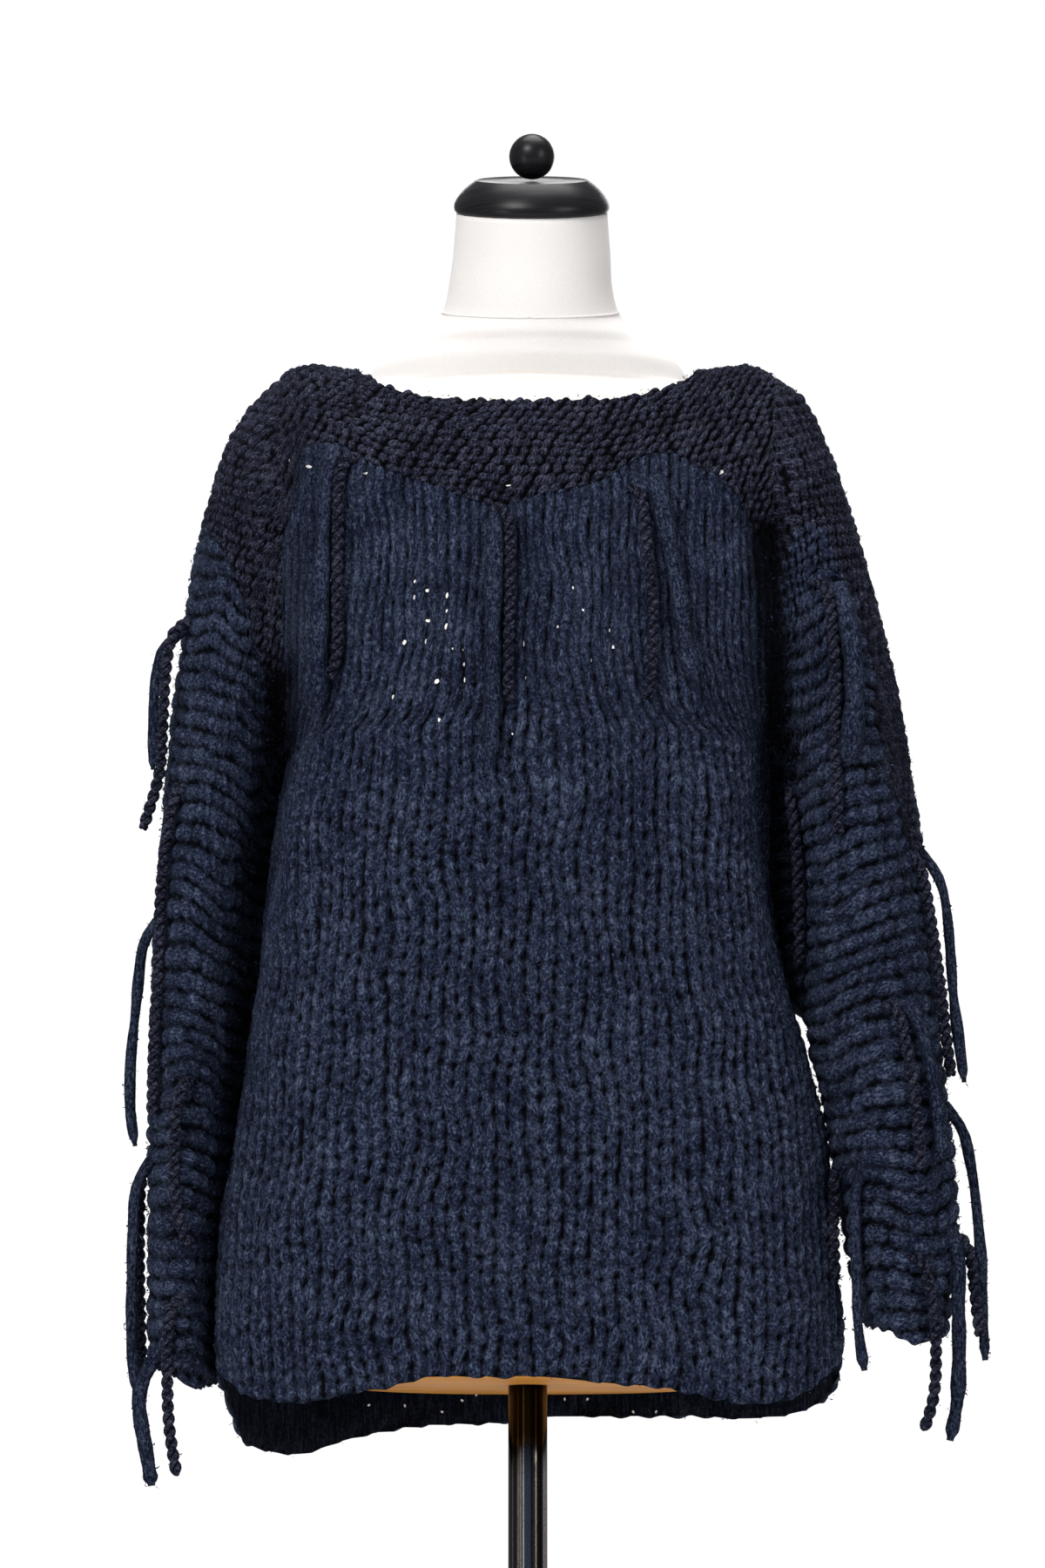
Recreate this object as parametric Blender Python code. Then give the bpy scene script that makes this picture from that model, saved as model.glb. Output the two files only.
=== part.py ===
"""Chunky knit sweater on a dress form.

Metres, Z up, the wearer's front faces -Y. The origin is the centre of the underside of the stand.
Every knitted piece is one closed wall: a raised outer skin over a plain inner skin, open where the
garment is open. The form inside it is smooth and clear of the cloth.
"""
from math import cos, pi, radians, sin

import bmesh
import bpy
import numpy as np
from mathutils import Vector
from mathutils.bvhtree import BVHTree

# Cloth sizes
WALL = 0.007
SEAM_GAP = 0.0003
RIB_DEPTH = 0.0022
SLEEVE_RIDGE_DEPTH = 0.0024
BODY_POWER = 2.3
SPRING = 1.220
LOWEST = 0.560
UNDERARM = 1.083
SHOULDER_END = 1.3483
ARMHOLE_DEPTH = 0.60
BODY_WALES = 26
BODY_ROWS = 13
YOKE_ROWS = 5
CUFF_RING = 12.0
SLEEVE_COLUMNS = 18
SLEEVE_RIDGES = 28
CAP_ROWS = 8

# Stand and form sizes
POLE_RADIUS = 0.0134
POLE_FOOT = 0.0293
BOARD_LOW = 0.6400
BOARD_TOP = 0.6520
CAP_TILT = radians(18.5)
CAP_CENTRE = (0.0030, -0.0300, 1.4597)
BALL_RADIUS = 0.0160
BALL_HEIGHT = 0.0392

# Strand sizes, half widths
CORD = 0.0036
ROVING = 0.0055
STRAND_CLEARANCE = 0.0016
KNOT_HEIGHT = 0.012
STRAND_DRIFT = 0.004
PUSH_STEP = 0.0006

# Body outline by height: height, left half width, right half width, front depth, back depth
BODY = np.array([
    (0.560, 0.2080, 0.2120, 0.106, 0.106),
    (0.640, 0.2120, 0.2145, 0.107, 0.106),
    (0.675, 0.2156, 0.2168, 0.108, 0.106),
    (0.742, 0.2125, 0.2125, 0.110, 0.107),
    (0.813, 0.2010, 0.2060, 0.113, 0.107),
    (0.862, 0.1945, 0.1947, 0.115, 0.108),
    (0.927, 0.1860, 0.1775, 0.118, 0.109),
    (0.997, 0.1800, 0.1690, 0.122, 0.111),
    (1.040, 0.1740, 0.1680, 0.124, 0.113),
    (1.083, 0.1680, 0.1680, 0.125, 0.114),
    (1.220, 0.1700, 0.1700, 0.122, 0.114),
])

# Shoulder line by distance from the middle: distance, height
RIDGE = np.array([
    (0.000, 1.3500),
    (0.120, 1.3520),
    (0.140, 1.3545),
    (0.152, 1.3560),
    (0.162, 1.3540),
    (0.174, 1.3483),
])

# Cloth edges across the body: position across, height
FRONT_HEM = np.array([
    (-0.215, 0.6520), (-0.208, 0.6430), (-0.200, 0.6337), (-0.190, 0.6280), (-0.156, 0.6232),
    (-0.120, 0.6290), (-0.097, 0.6326), (-0.062, 0.6396), (-0.004, 0.6396), (0.055, 0.6350),
    (0.090, 0.6326), (0.113, 0.6290), (0.149, 0.6221), (0.166, 0.6232), (0.184, 0.6280),
    (0.198, 0.6366), (0.209, 0.6480), (0.217, 0.6600),
])
BACK_HEM = np.array([
    (-0.215, 0.6480), (-0.209, 0.6300), (-0.203, 0.6070), (-0.196, 0.6010), (-0.186, 0.5985),
    (-0.168, 0.5966), (-0.126, 0.6087), (-0.077, 0.6184), (-0.028, 0.6209), (0.021, 0.6251),
    (0.118, 0.6251), (0.149, 0.6221), (0.179, 0.6233), (0.204, 0.6300), (0.213, 0.6380),
    (0.217, 0.6520),
])
FRONT_YOKE = np.array([
    (-0.172, 1.1976), (-0.162, 1.2462), (-0.154, 1.2809), (-0.138, 1.2839), (-0.105, 1.2644),
    (-0.063, 1.2462), (-0.016, 1.2316), (0.010, 1.2401), (0.050, 1.2504), (0.077, 1.2675),
    (0.095, 1.2736), (0.122, 1.2614), (0.144, 1.2449), (0.160, 1.2182), (0.172, 1.2060),
])
BACK_YOKE = np.array([
    (-0.172, 1.2000), (-0.155, 1.2440), (-0.110, 1.2620), (-0.050, 1.2500), (0.000, 1.2440),
    (0.050, 1.2500), (0.110, 1.2620), (0.155, 1.2440), (0.172, 1.2000),
])
FRONT_NECK = np.array([
    (0.000, 1.3168), (0.028, 1.3168), (0.050, 1.3180), (0.074, 1.3217), (0.095, 1.3300),
    (0.108, 1.3390), (0.116, 1.3460), (0.122, 1.3600),
])
BACK_NECK = np.array([
    (0.000, 1.3270), (0.050, 1.3285), (0.080, 1.3330), (0.100, 1.3400), (0.112, 1.3460),
    (0.122, 1.3600),
])

# Soft folds of a body panel: across (-1 to 1), height, half width across, half length, lean, rise
FRONT_FOLDS = [
    (-0.86, 1.040, 0.09, 0.090, 0.25, -0.0060),
    (-0.70, 1.000, 0.08, 0.110, 0.20, 0.0040),
    (0.86, 1.020, 0.09, 0.080, -0.25, -0.0060),
    (0.68, 0.960, 0.09, 0.110, -0.20, 0.0035),
    (-0.80, 0.760, 0.09, 0.110, 0.05, -0.0050),
    (-0.58, 0.740, 0.10, 0.120, 0.00, 0.0035),
    (0.82, 0.730, 0.08, 0.100, -0.05, -0.0045),
    (0.05, 0.720, 0.22, 0.100, 0.00, -0.0030),
]
BACK_FOLDS = [
    (-0.84, 1.030, 0.09, 0.090, 0.22, -0.0060),
    (-0.66, 0.960, 0.09, 0.120, 0.16, 0.0035),
    (0.85, 1.040, 0.09, 0.090, -0.25, -0.0055),
    (0.64, 0.930, 0.10, 0.110, -0.18, 0.0040),
    (-0.45, 0.760, 0.11, 0.120, 0.00, -0.0045),
    (0.42, 0.740, 0.10, 0.130, 0.00, -0.0040),
]

# Sleeve rings from the armhole to the cuff, seen from the front:
# outer x, outer z, inner x, inner z, half depth, depth centre
RIGHT_SLEEVE = np.array([
    (0.1826, 1.3389, 0.1683, 1.0830, 0.070, 0.000),
    (0.1924, 1.3345, 0.1743, 1.0780, 0.074, 0.000),
    (0.2105, 1.2988, 0.1791, 1.0682, 0.076, 0.000),
    (0.2273, 1.2489, 0.1815, 1.0571, 0.077, -0.001),
    (0.2421, 1.1942, 0.1832, 1.0430, 0.077, -0.002),
    (0.2568, 1.1292, 0.1861, 1.0246, 0.076, -0.003),
    (0.2677, 1.0614, 0.1908, 0.9940, 0.074, -0.004),
    (0.2762, 0.9970, 0.1923, 0.9482, 0.071, -0.005),
    (0.2828, 0.9299, 0.1925, 0.8964, 0.068, -0.006),
    (0.2881, 0.8570, 0.2035, 0.8327, 0.064, -0.007),
    (0.2946, 0.7904, 0.2116, 0.7754, 0.060, -0.008),
    (0.2966, 0.7423, 0.2184, 0.7302, 0.056, -0.008),
    (0.2875, 0.6775, 0.2300, 0.6823, 0.051, -0.008),
])
LEFT_SLEEVE = np.array([
    (-0.1851, 1.3389, -0.1683, 1.0830, 0.070, 0.000),
    (-0.1966, 1.3251, -0.1737, 1.0756, 0.074, 0.001),
    (-0.2130, 1.2957, -0.1785, 1.0645, 0.077, 0.002),
    (-0.2237, 1.2601, -0.1821, 1.0553, 0.079, 0.003),
    (-0.2343, 1.2128, -0.1856, 1.0399, 0.080, 0.004),
    (-0.2430, 1.1540, -0.1903, 1.0185, 0.081, 0.005),
    (-0.2503, 1.0891, -0.1950, 0.9909, 0.080, 0.006),
    (-0.2558, 1.0215, -0.1983, 0.9512, 0.078, 0.007),
    (-0.2594, 0.9482, -0.2028, 0.8964, 0.075, 0.008),
    (-0.2617, 0.8751, -0.2084, 0.8388, 0.071, 0.009),
    (-0.2623, 0.8025, -0.2128, 0.7844, 0.066, 0.010),
    (-0.2629, 0.7362, -0.2172, 0.7272, 0.061, 0.010),
    (-0.2609, 0.6547, -0.2190, 0.6434, 0.055, 0.010),
])

# Where the dark cap of a sleeve ends: turn round the sleeve (0 outer, 0.25 front), ring
LEFT_CAP_END = np.array([(0.00, 3.6), (0.14, 3.0), (0.25, 2.1), (0.40, 1.2), (0.50, 0.9),
                         (0.60, 1.3), (0.75, 2.6), (0.88, 3.4), (1.00, 3.6)])
RIGHT_CAP_END = np.array([(0.00, 5.2), (0.12, 4.0), (0.25, 1.8), (0.40, 1.0), (0.50, 0.9),
                          (0.60, 1.3), (0.75, 2.9), (0.88, 4.6), (1.00, 5.2)])

# Form sections: height, half width, front depth, back depth, roundness, centre x, centre y, tilt
FORM = [
    (0.6523, 0.1300, 0.092, 0.092, 2.2, 0.000, 0.000, 0),
    (0.6640, 0.1330, 0.094, 0.094, 2.2, 0.000, 0.000, 0),
    (0.7400, 0.1520, 0.098, 0.095, 2.2, 0.000, 0.000, 0),
    (0.8200, 0.1640, 0.099, 0.096, 2.2, 0.000, 0.000, 0),
    (0.9000, 0.1500, 0.094, 0.088, 2.1, 0.000, 0.000, 0),
    (0.9850, 0.1280, 0.090, 0.082, 2.1, 0.000, 0.000, 0),
    (1.0600, 0.1370, 0.098, 0.086, 2.1, 0.000, 0.000, 0),
    (1.1400, 0.1490, 0.110, 0.092, 2.1, 0.000, 0.000, 0),
    (1.2000, 0.1540, 0.110, 0.096, 2.1, 0.000, 0.000, 0),
    (1.2500, 0.1580, 0.102, 0.096, 2.1, 0.000, 0.000, 0),
    (1.2850, 0.1620, 0.090, 0.087, 2.0, 0.000, 0.000, 0),
    (1.3100, 0.1640, 0.0750, 0.0670, 1.8, 0.000, 0.000, 0),
    (1.3260, 0.1590, 0.065, 0.056, 1.6, 0.000, 0.000, 0),
    (1.3355, 0.1450, 0.054, 0.047, 1.5, 0.000, 0.000, 0),
    (1.3393, 0.1310, 0.048, 0.043, 1.55, 0.000, 0.000, 0),
    (1.3425, 0.1170, 0.050, 0.045, 1.65, 0.000, 0.000, 0),
    (1.3590, 0.1040, 0.056, 0.050, 1.7, 0.000, -0.001, 4),
    (1.3700, 0.0880, 0.056, 0.052, 1.8, 0.001, -0.003, 8),
    (1.3815, 0.0735, 0.057, 0.053, 2.0, 0.001, -0.006, 13),
    (1.3930, 0.0620, 0.056, 0.054, 2.0, 0.002, -0.009, 17),
    (1.4100, 0.0575, 0.055, 0.054, 2.0, 0.002, -0.014, 18.5),
    (1.4350, 0.0550, 0.053, 0.053, 2.0, 0.003, -0.0215, 18.5),
    (1.4594, 0.0530, 0.0525, 0.0525, 2.0, 0.003, -0.0299, 18.5),
]

# Turned profiles: radius, height
CAP_PROFILE = [(0.0525, 0.0000), (0.0545, 0.0022), (0.0548, 0.0050), (0.0530, 0.0095),
               (0.0480, 0.0160), (0.0396, 0.0226), (0.0380, 0.0232), (0.0060, 0.0228)]
BASE_PROFILE = [(0.1640, 0.0000), (0.1700, 0.0030), (0.1700, 0.0085), (0.1640, 0.0120),
                (0.0900, 0.0165), (0.0300, 0.0200), (0.0240, 0.0225), (0.0240, 0.0290)]

# Tassels seen from the front: yarn, depth where no cloth lies behind it, path of (x, z)
TASSELS = {
    "tassel_front_1": [
        ("roving", -0.135, [(-0.137, 1.270), (-0.139, 1.241), (-0.141, 1.193), (-0.142, 1.145),
               (-0.143, 1.094)]),
        ("cord", -0.135, [(-0.127, 1.270), (-0.130, 1.259), (-0.130, 1.217), (-0.130, 1.169),
               (-0.129, 1.128), (-0.134, 1.116)]),
    ],
    "tassel_front_2": [
        ("roving", -0.135, [(-0.022, 1.224), (-0.023, 1.187), (-0.024, 1.145), (-0.024, 1.097),
               (-0.025, 1.056)]),
        ("cord", -0.135, [(-0.012, 1.224), (-0.012, 1.210), (-0.012, 1.166), (-0.013, 1.129),
               (-0.013, 1.094)]),
    ],
    "tassel_front_3": [
        ("cord", -0.135, [(0.078, 1.241), (0.080, 1.217), (0.083, 1.187), (0.086, 1.148),
               (0.084, 1.121), (0.082, 1.098)]),
        ("roving", -0.135, [(0.089, 1.241), (0.096, 1.211), (0.102, 1.178), (0.108, 1.134),
               (0.115, 1.109)]),
    ],
    "tassel_right_1": [
        ("cord", -0.08, [(0.206, 1.190), (0.209, 1.155), (0.211, 1.118), (0.211, 1.075), (0.212, 1.040),
               (0.213, 1.012)]),
        ("roving", -0.08, [(0.217, 1.190), (0.222, 1.167), (0.227, 1.130), (0.228, 1.106),
               (0.225, 1.082), (0.222, 1.063)]),
    ],
    "tassel_right_2": [
        ("cord", -0.08, [(0.186, 1.046), (0.186, 1.022), (0.187, 0.985), (0.188, 0.949), (0.190, 0.927)]),
    ],
    "tassel_right_3": [
        ("cord", -0.03, [(0.267, 0.999), (0.273, 0.971), (0.277, 0.940), (0.281, 0.908), (0.284, 0.875),
               (0.288, 0.850)]),
        ("roving", -0.03, [(0.279, 0.999), (0.287, 0.981), (0.291, 0.944), (0.293, 0.907),
               (0.297, 0.872), (0.300, 0.846)]),
    ],
    "tassel_right_4": [
        ("cord", -0.06, [(0.253, 0.893), (0.257, 0.868), (0.262, 0.841), (0.265, 0.814), (0.267, 0.781)]),
        ("roving", -0.06, [(0.264, 0.893), (0.271, 0.871), (0.276, 0.847), (0.279, 0.817), (0.281, 0.790)]),
    ],
    "tassel_right_5": [
        ("roving", -0.02, [(0.299, 0.818), (0.302, 0.804), (0.306, 0.782), (0.309, 0.752),
               (0.311, 0.724), (0.312, 0.682), (0.313, 0.656)]),
    ],
    "tassel_right_6": [
        ("roving", -0.03, [(0.291, 0.740), (0.293, 0.710), (0.294, 0.673), (0.293, 0.632), (0.287, 0.600)]),
        ("cord", -0.03, [(0.301, 0.740), (0.304, 0.723), (0.306, 0.698), (0.309, 0.672)]),
    ],
    "tassel_right_7": [
        ("cord", -0.06, [(0.268, 0.722), (0.274, 0.698), (0.277, 0.672), (0.277, 0.645), (0.274, 0.621),
               (0.268, 0.606)]),
    ],
    "tassel_right_8": [
        ("cord", -0.03, [(0.214, 0.781), (0.208, 0.751), (0.207, 0.728), (0.208, 0.710)]),
        ("roving", -0.03, [(0.224, 0.781), (0.224, 0.751), (0.224, 0.722), (0.224, 0.692),
               (0.226, 0.665), (0.229, 0.647)]),
    ],
    "tassel_left_1": [
        ("roving", -0.05, [(-0.255, 1.163), (-0.261, 1.139), (-0.264, 1.111), (-0.264, 1.084),
               (-0.266, 1.062)]),
        ("cord", -0.05, [(-0.245, 1.163), (-0.249, 1.142), (-0.251, 1.117), (-0.252, 1.093),
               (-0.253, 1.062), (-0.259, 1.038), (-0.265, 1.019)]),
    ],
    "tassel_left_2": [
        ("cord", -0.07, [(-0.241, 1.044), (-0.246, 1.020), (-0.249, 0.987), (-0.250, 0.951),
               (-0.251, 0.915), (-0.253, 0.873), (-0.254, 0.822)]),
    ],
    "tassel_left_3": [
        ("cord", -0.06, [(-0.236, 0.842), (-0.240, 0.814), (-0.241, 0.787), (-0.240, 0.761),
               (-0.236, 0.743), (-0.231, 0.731)]),
    ],
    "tassel_left_4": [
        ("roving", -0.02, [(-0.268, 0.957), (-0.270, 0.927), (-0.273, 0.892), (-0.275, 0.855),
               (-0.275, 0.831), (-0.273, 0.808)]),
    ],
    "tassel_left_5": [
        ("roving", -0.02, [(-0.277, 0.791), (-0.280, 0.770), (-0.281, 0.741), (-0.282, 0.705),
               (-0.282, 0.665), (-0.280, 0.631)]),
        ("cord", -0.02, [(-0.267, 0.791), (-0.269, 0.770), (-0.270, 0.741), (-0.272, 0.705),
               (-0.272, 0.669), (-0.271, 0.640)]),
    ],
    "tassel_left_6": [
        ("roving", -0.03, [(-0.262, 0.650), (-0.266, 0.632), (-0.264, 0.614), (-0.260, 0.594),
               (-0.256, 0.570)]),
    ],
    "tassel_left_7": [
        ("cord", -0.06, [(-0.243, 0.694), (-0.245, 0.666), (-0.245, 0.639), (-0.244, 0.613),
               (-0.241, 0.592), (-0.238, 0.576)]),
    ],
}

# Materials: colour, roughness, metallic
MATERIALS = {
    "navy_wool": ((0.019, 0.024, 0.047), 0.95, 0.0),
    "dark_wool": ((0.017, 0.019, 0.030), 0.85, 0.0),
    "form_cover": ((0.860, 0.830, 0.790), 0.85, 0.0),
    "black_lacquer": ((0.012, 0.012, 0.014), 0.30, 0.0),
    "form_board": ((0.420, 0.240, 0.110), 0.45, 0.0),
    "chrome": ((0.550, 0.550, 0.570), 0.12, 1.0),
    "stand_base": ((0.020, 0.020, 0.022), 0.35, 0.0),
}


def smooth_curve(table_x, table_y):
    """A smooth curve through a table, flat beyond its ends and free of overshoot."""
    xs = np.asarray(table_x, float)
    ys = np.asarray(table_y, float)
    step = np.diff(xs)
    slope = np.diff(ys) / step
    rate = np.zeros(len(xs))
    rate[0] = slope[0]
    rate[-1] = slope[-1]
    same = slope[1:] * slope[:-1] > 0
    mean = 2 * slope[1:] * slope[:-1] / np.where(same, slope[1:] + slope[:-1], 1.0)
    rate[1:-1] = np.where(same, mean, 0.0)

    def curve(x):
        x = np.clip(x, xs[0], xs[-1])
        k = np.clip(np.searchsorted(xs, x) - 1, 0, len(xs) - 2)
        t = (x - xs[k]) / step[k]
        return (ys[k] * (1 + 2 * t) * (1 - t) ** 2 + ys[k + 1] * t * t * (3 - 2 * t)
                + step[k] * (rate[k] * t * (1 - t) ** 2 - rate[k + 1] * t * t * (1 - t)))

    return curve


def signed_power(value, power):
    return np.sign(value) * np.abs(value) ** power


def even_along(points, count):
    """Points evenly spaced along a polyline."""
    length = np.concatenate([[0], np.cumsum(np.linalg.norm(np.diff(points, axis=0), axis=1))])
    wanted = np.linspace(0, length[-1], count)
    return np.stack([np.interp(wanted, length, points[:, k]) for k in range(points.shape[1])], 1)


left_width = smooth_curve(BODY[:, 0], BODY[:, 1])
right_width = smooth_curve(BODY[:, 0], BODY[:, 2])
front_depth = smooth_curve(BODY[:, 0], BODY[:, 3])
back_depth = smooth_curve(BODY[:, 0], BODY[:, 4])
ridge_height = smooth_curve(RIDGE[:, 0], RIDGE[:, 1])
FINE_LEVELS = np.concatenate([np.linspace(0, 1, 90), np.linspace(1, 2, 41)[1:]])
FINE_ACROSS = np.linspace(-1, 1, 161)


def armhole_edge(height):
    """Half width of the body where the sleeve is joined."""
    share = (height - UNDERARM) / (SHOULDER_END - UNDERARM)
    return 0.168 + 0.004 * np.clip(share, 0, 1)


def body_grid(front):
    """The smooth outer skin of one body side on a fine grid of levels and places across."""
    depth_curve = front_depth if front else back_depth
    facing = -1 if front else 1
    grid = np.zeros((len(FINE_LEVELS), len(FINE_ACROSS), 3))
    for row, level in enumerate(FINE_LEVELS):
        roll = max(0.0, level - 1) * pi / 2
        height = LOWEST + (SPRING - LOWEST) * min(level, 1.0)
        arm_height = SPRING + (SHOULDER_END - SPRING) * sin(roll) if level > 1 else height
        depth = float(depth_curve(height)) * cos(roll)
        rise = (min(arm_height, 1.200) - 1.200) / (1.200 - UNDERARM)
        opening = ARMHOLE_DEPTH * np.sqrt(max(0.0, 1 - rise * rise)) if arm_height > UNDERARM else 0.0
        halves = []
        for width_curve in (left_width, right_width):
            edge = armhole_edge(arm_height) if arm_height > UNDERARM else float(width_curve(height))
            full = edge / (1 - opening ** BODY_POWER) ** (1 / BODY_POWER)
            last = np.arcsin(min(1.0, (edge / full) ** (BODY_POWER / 2)))
            turn = np.linspace(0, last, 200)
            x = full * np.sin(turn) ** (2 / BODY_POWER)
            y = depth * np.clip(np.cos(turn), 0, 1) ** (2 / BODY_POWER)
            halves.append(even_along(np.stack([x, y], 1), 81))
        across = np.concatenate([halves[0][::-1] * (-1, 1), halves[1][1:]])
        grid[row, :, 0] = across[:, 0]
        grid[row, :, 1] = facing * across[:, 1]
        lift = ridge_height(np.abs(across[:, 0])) - SPRING
        grid[row, :, 2] = height + (lift * sin(roll) if level > 1 else 0)
    return grid


def sample_grid(grid, row_axis, column_axis, row_value, column_value):
    """Read a fine grid between its points."""
    r = np.interp(row_value, row_axis, np.arange(len(row_axis)))
    c = np.interp(column_value, column_axis, np.arange(len(column_axis)))
    r0 = np.clip(r.astype(int), 0, len(row_axis) - 2)
    c0 = np.clip(c.astype(int), 0, len(column_axis) - 2)
    fr = (r - r0)[..., None]
    fc = (c - c0)[..., None]
    return ((grid[r0, c0] * (1 - fc) + grid[r0, c0 + 1] * fc) * (1 - fr)
            + (grid[r0 + 1, c0] * (1 - fc) + grid[r0 + 1, c0 + 1] * fc) * fr)


def body_surface(front):
    """Functions for the folded outer skin of one body side and its outward direction."""
    grid = body_grid(front)
    folds = FRONT_FOLDS if front else BACK_FOLDS

    def smooth(across, level):
        return sample_grid(grid, FINE_LEVELS, FINE_ACROSS, level, across)

    def outward(across, level):
        du = smooth(np.minimum(across + 0.012, 1), level) - smooth(np.maximum(across - 0.012, -1), level)
        dv = smooth(across, np.minimum(level + 0.012, 2)) - smooth(across, np.maximum(level - 0.012, 0))
        normal = np.cross(du, dv)
        normal /= np.maximum(np.linalg.norm(normal, axis=-1, keepdims=True), 1e-9)
        return normal if front else -normal

    def skin(across, level):
        point = smooth(across, level)
        rise = np.zeros(across.shape)
        for centre, height, half_width, half_length, lean, peak in folds:
            along = (point[..., 2] - height) / half_length
            beside = (across - centre - lean * (point[..., 2] - height) / 0.3) / half_width
            rise = rise + peak * np.exp(-beside ** 2 - along ** 2)
        rise = rise * np.clip((1 - np.abs(across)) / 0.06, 0, 1)
        return point + outward(across, level) * rise[..., None]

    return skin, outward, smooth


def level_of(height, across_x):
    """The level whose height is wanted at a place across the body."""
    height = np.asarray(height, float)
    low = (height - LOWEST) / (SPRING - LOWEST)
    share = np.clip((height - SPRING) / (ridge_height(np.abs(across_x)) - SPRING), 0, 1)
    return np.where(height <= SPRING, low, 1 + np.arcsin(share) * 2 / pi)


def zip_rims(first, second):
    """Triangles between two rows of points that run the same way."""
    faces = []
    i = 0
    j = 0
    while i < len(first) - 1 or j < len(second) - 1:
        next_i = (i + 1) / (len(first) - 1)
        next_j = (j + 1) / (len(second) - 1)
        if j == len(second) - 1 or (i < len(first) - 1 and next_i <= next_j):
            faces.append((first[i], first[i + 1], second[j]))
            i += 1
        else:
            faces.append((first[i], second[j + 1], second[j]))
            j += 1
    return faces


def grid_faces(indices, closed):
    rows, columns = indices.shape
    faces = []
    for r in range(rows - 1):
        for c in range(columns if closed else columns - 1):
            d = (c + 1) % columns
            faces.append((indices[r, c], indices[r, d], indices[r + 1, d], indices[r + 1, c]))
    return faces


def make_object(name, points, faces, material, collection):
    mesh = bpy.data.meshes.new(name)
    mesh.from_pydata([tuple(map(float, p)) for p in points], [], [tuple(map(int, f)) for f in faces])
    shape = bmesh.new()
    shape.from_mesh(mesh)
    bmesh.ops.recalc_face_normals(shape, faces=shape.faces)
    if shape.calc_volume(signed=True) < 0:
        bmesh.ops.reverse_faces(shape, faces=shape.faces)
    shape.to_mesh(mesh)
    shape.free()
    item = bpy.data.objects.new(name, mesh)
    item.data.materials.append(material)
    collection.objects.link(item)
    return item


def wall(name, outer, inner, closed, material, collection):
    """One closed body from an outer and an inner skin, joined round their edges."""
    outer_ids = np.arange(outer.shape[0] * outer.shape[1]).reshape(outer.shape[:2])
    inner_ids = outer_ids.size + np.arange(inner.shape[0] * inner.shape[1]).reshape(inner.shape[:2])
    faces = grid_faces(outer_ids, closed) + grid_faces(inner_ids, closed)
    for row in (0, -1):
        first = list(outer_ids[row])
        second = list(inner_ids[row])
        if closed:
            first.append(first[0])
            second.append(second[0])
        faces += zip_rims(first, second)
    if not closed:
        for column in (0, -1):
            faces += zip_rims(list(outer_ids[:, column]), list(inner_ids[:, column]))
    points = np.concatenate([outer.reshape(-1, 3), inner.reshape(-1, 3)])
    return make_object(name, points, faces, material, collection)


def body_piece(name, front, low, high, rows, ribbed, surface, material, collection):
    """A knitted body piece between two edges, each a level for every place across."""
    skin, outward, _ = surface
    facing = -1 if front else 1
    across = np.linspace(-1, 1, 2 * BODY_WALES + 1)
    inner_across = across[::2]
    share = np.linspace(0, 1, rows + 1)
    inner_share = np.linspace(0, 1, rows // 2 + 1) if ribbed else share

    def lay(columns, shares):
        level = low(columns)[None, :] + (high(columns) - low(columns))[None, :] * shares[:, None]
        return np.broadcast_to(columns, level.shape), level

    u, v = lay(across, share)
    outer = skin(u, v)
    if ribbed:
        groove = np.zeros(u.shape)
        groove[:-1, ::2] = RIB_DEPTH
        outer = outer - outward(u, v) * groove[..., None]
    iu, iv = lay(inner_across, inner_share)
    inner = skin(iu, iv) - outward(iu, iv) * WALL
    if ribbed:
        inner[-1, :, 2] = np.minimum(inner[-1, :, 2], outer[-1, ::2, 2])
    else:
        outer[0, :, 2] += SEAM_GAP
        inner[0, :, 2] = outer[0, ::2, 2]
    for skin_points in (outer, inner):
        skin_points[..., 1] = facing * np.maximum(facing * skin_points[..., 1], SEAM_GAP / 2)
    return wall(name, outer, inner, False, material, collection)


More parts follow.
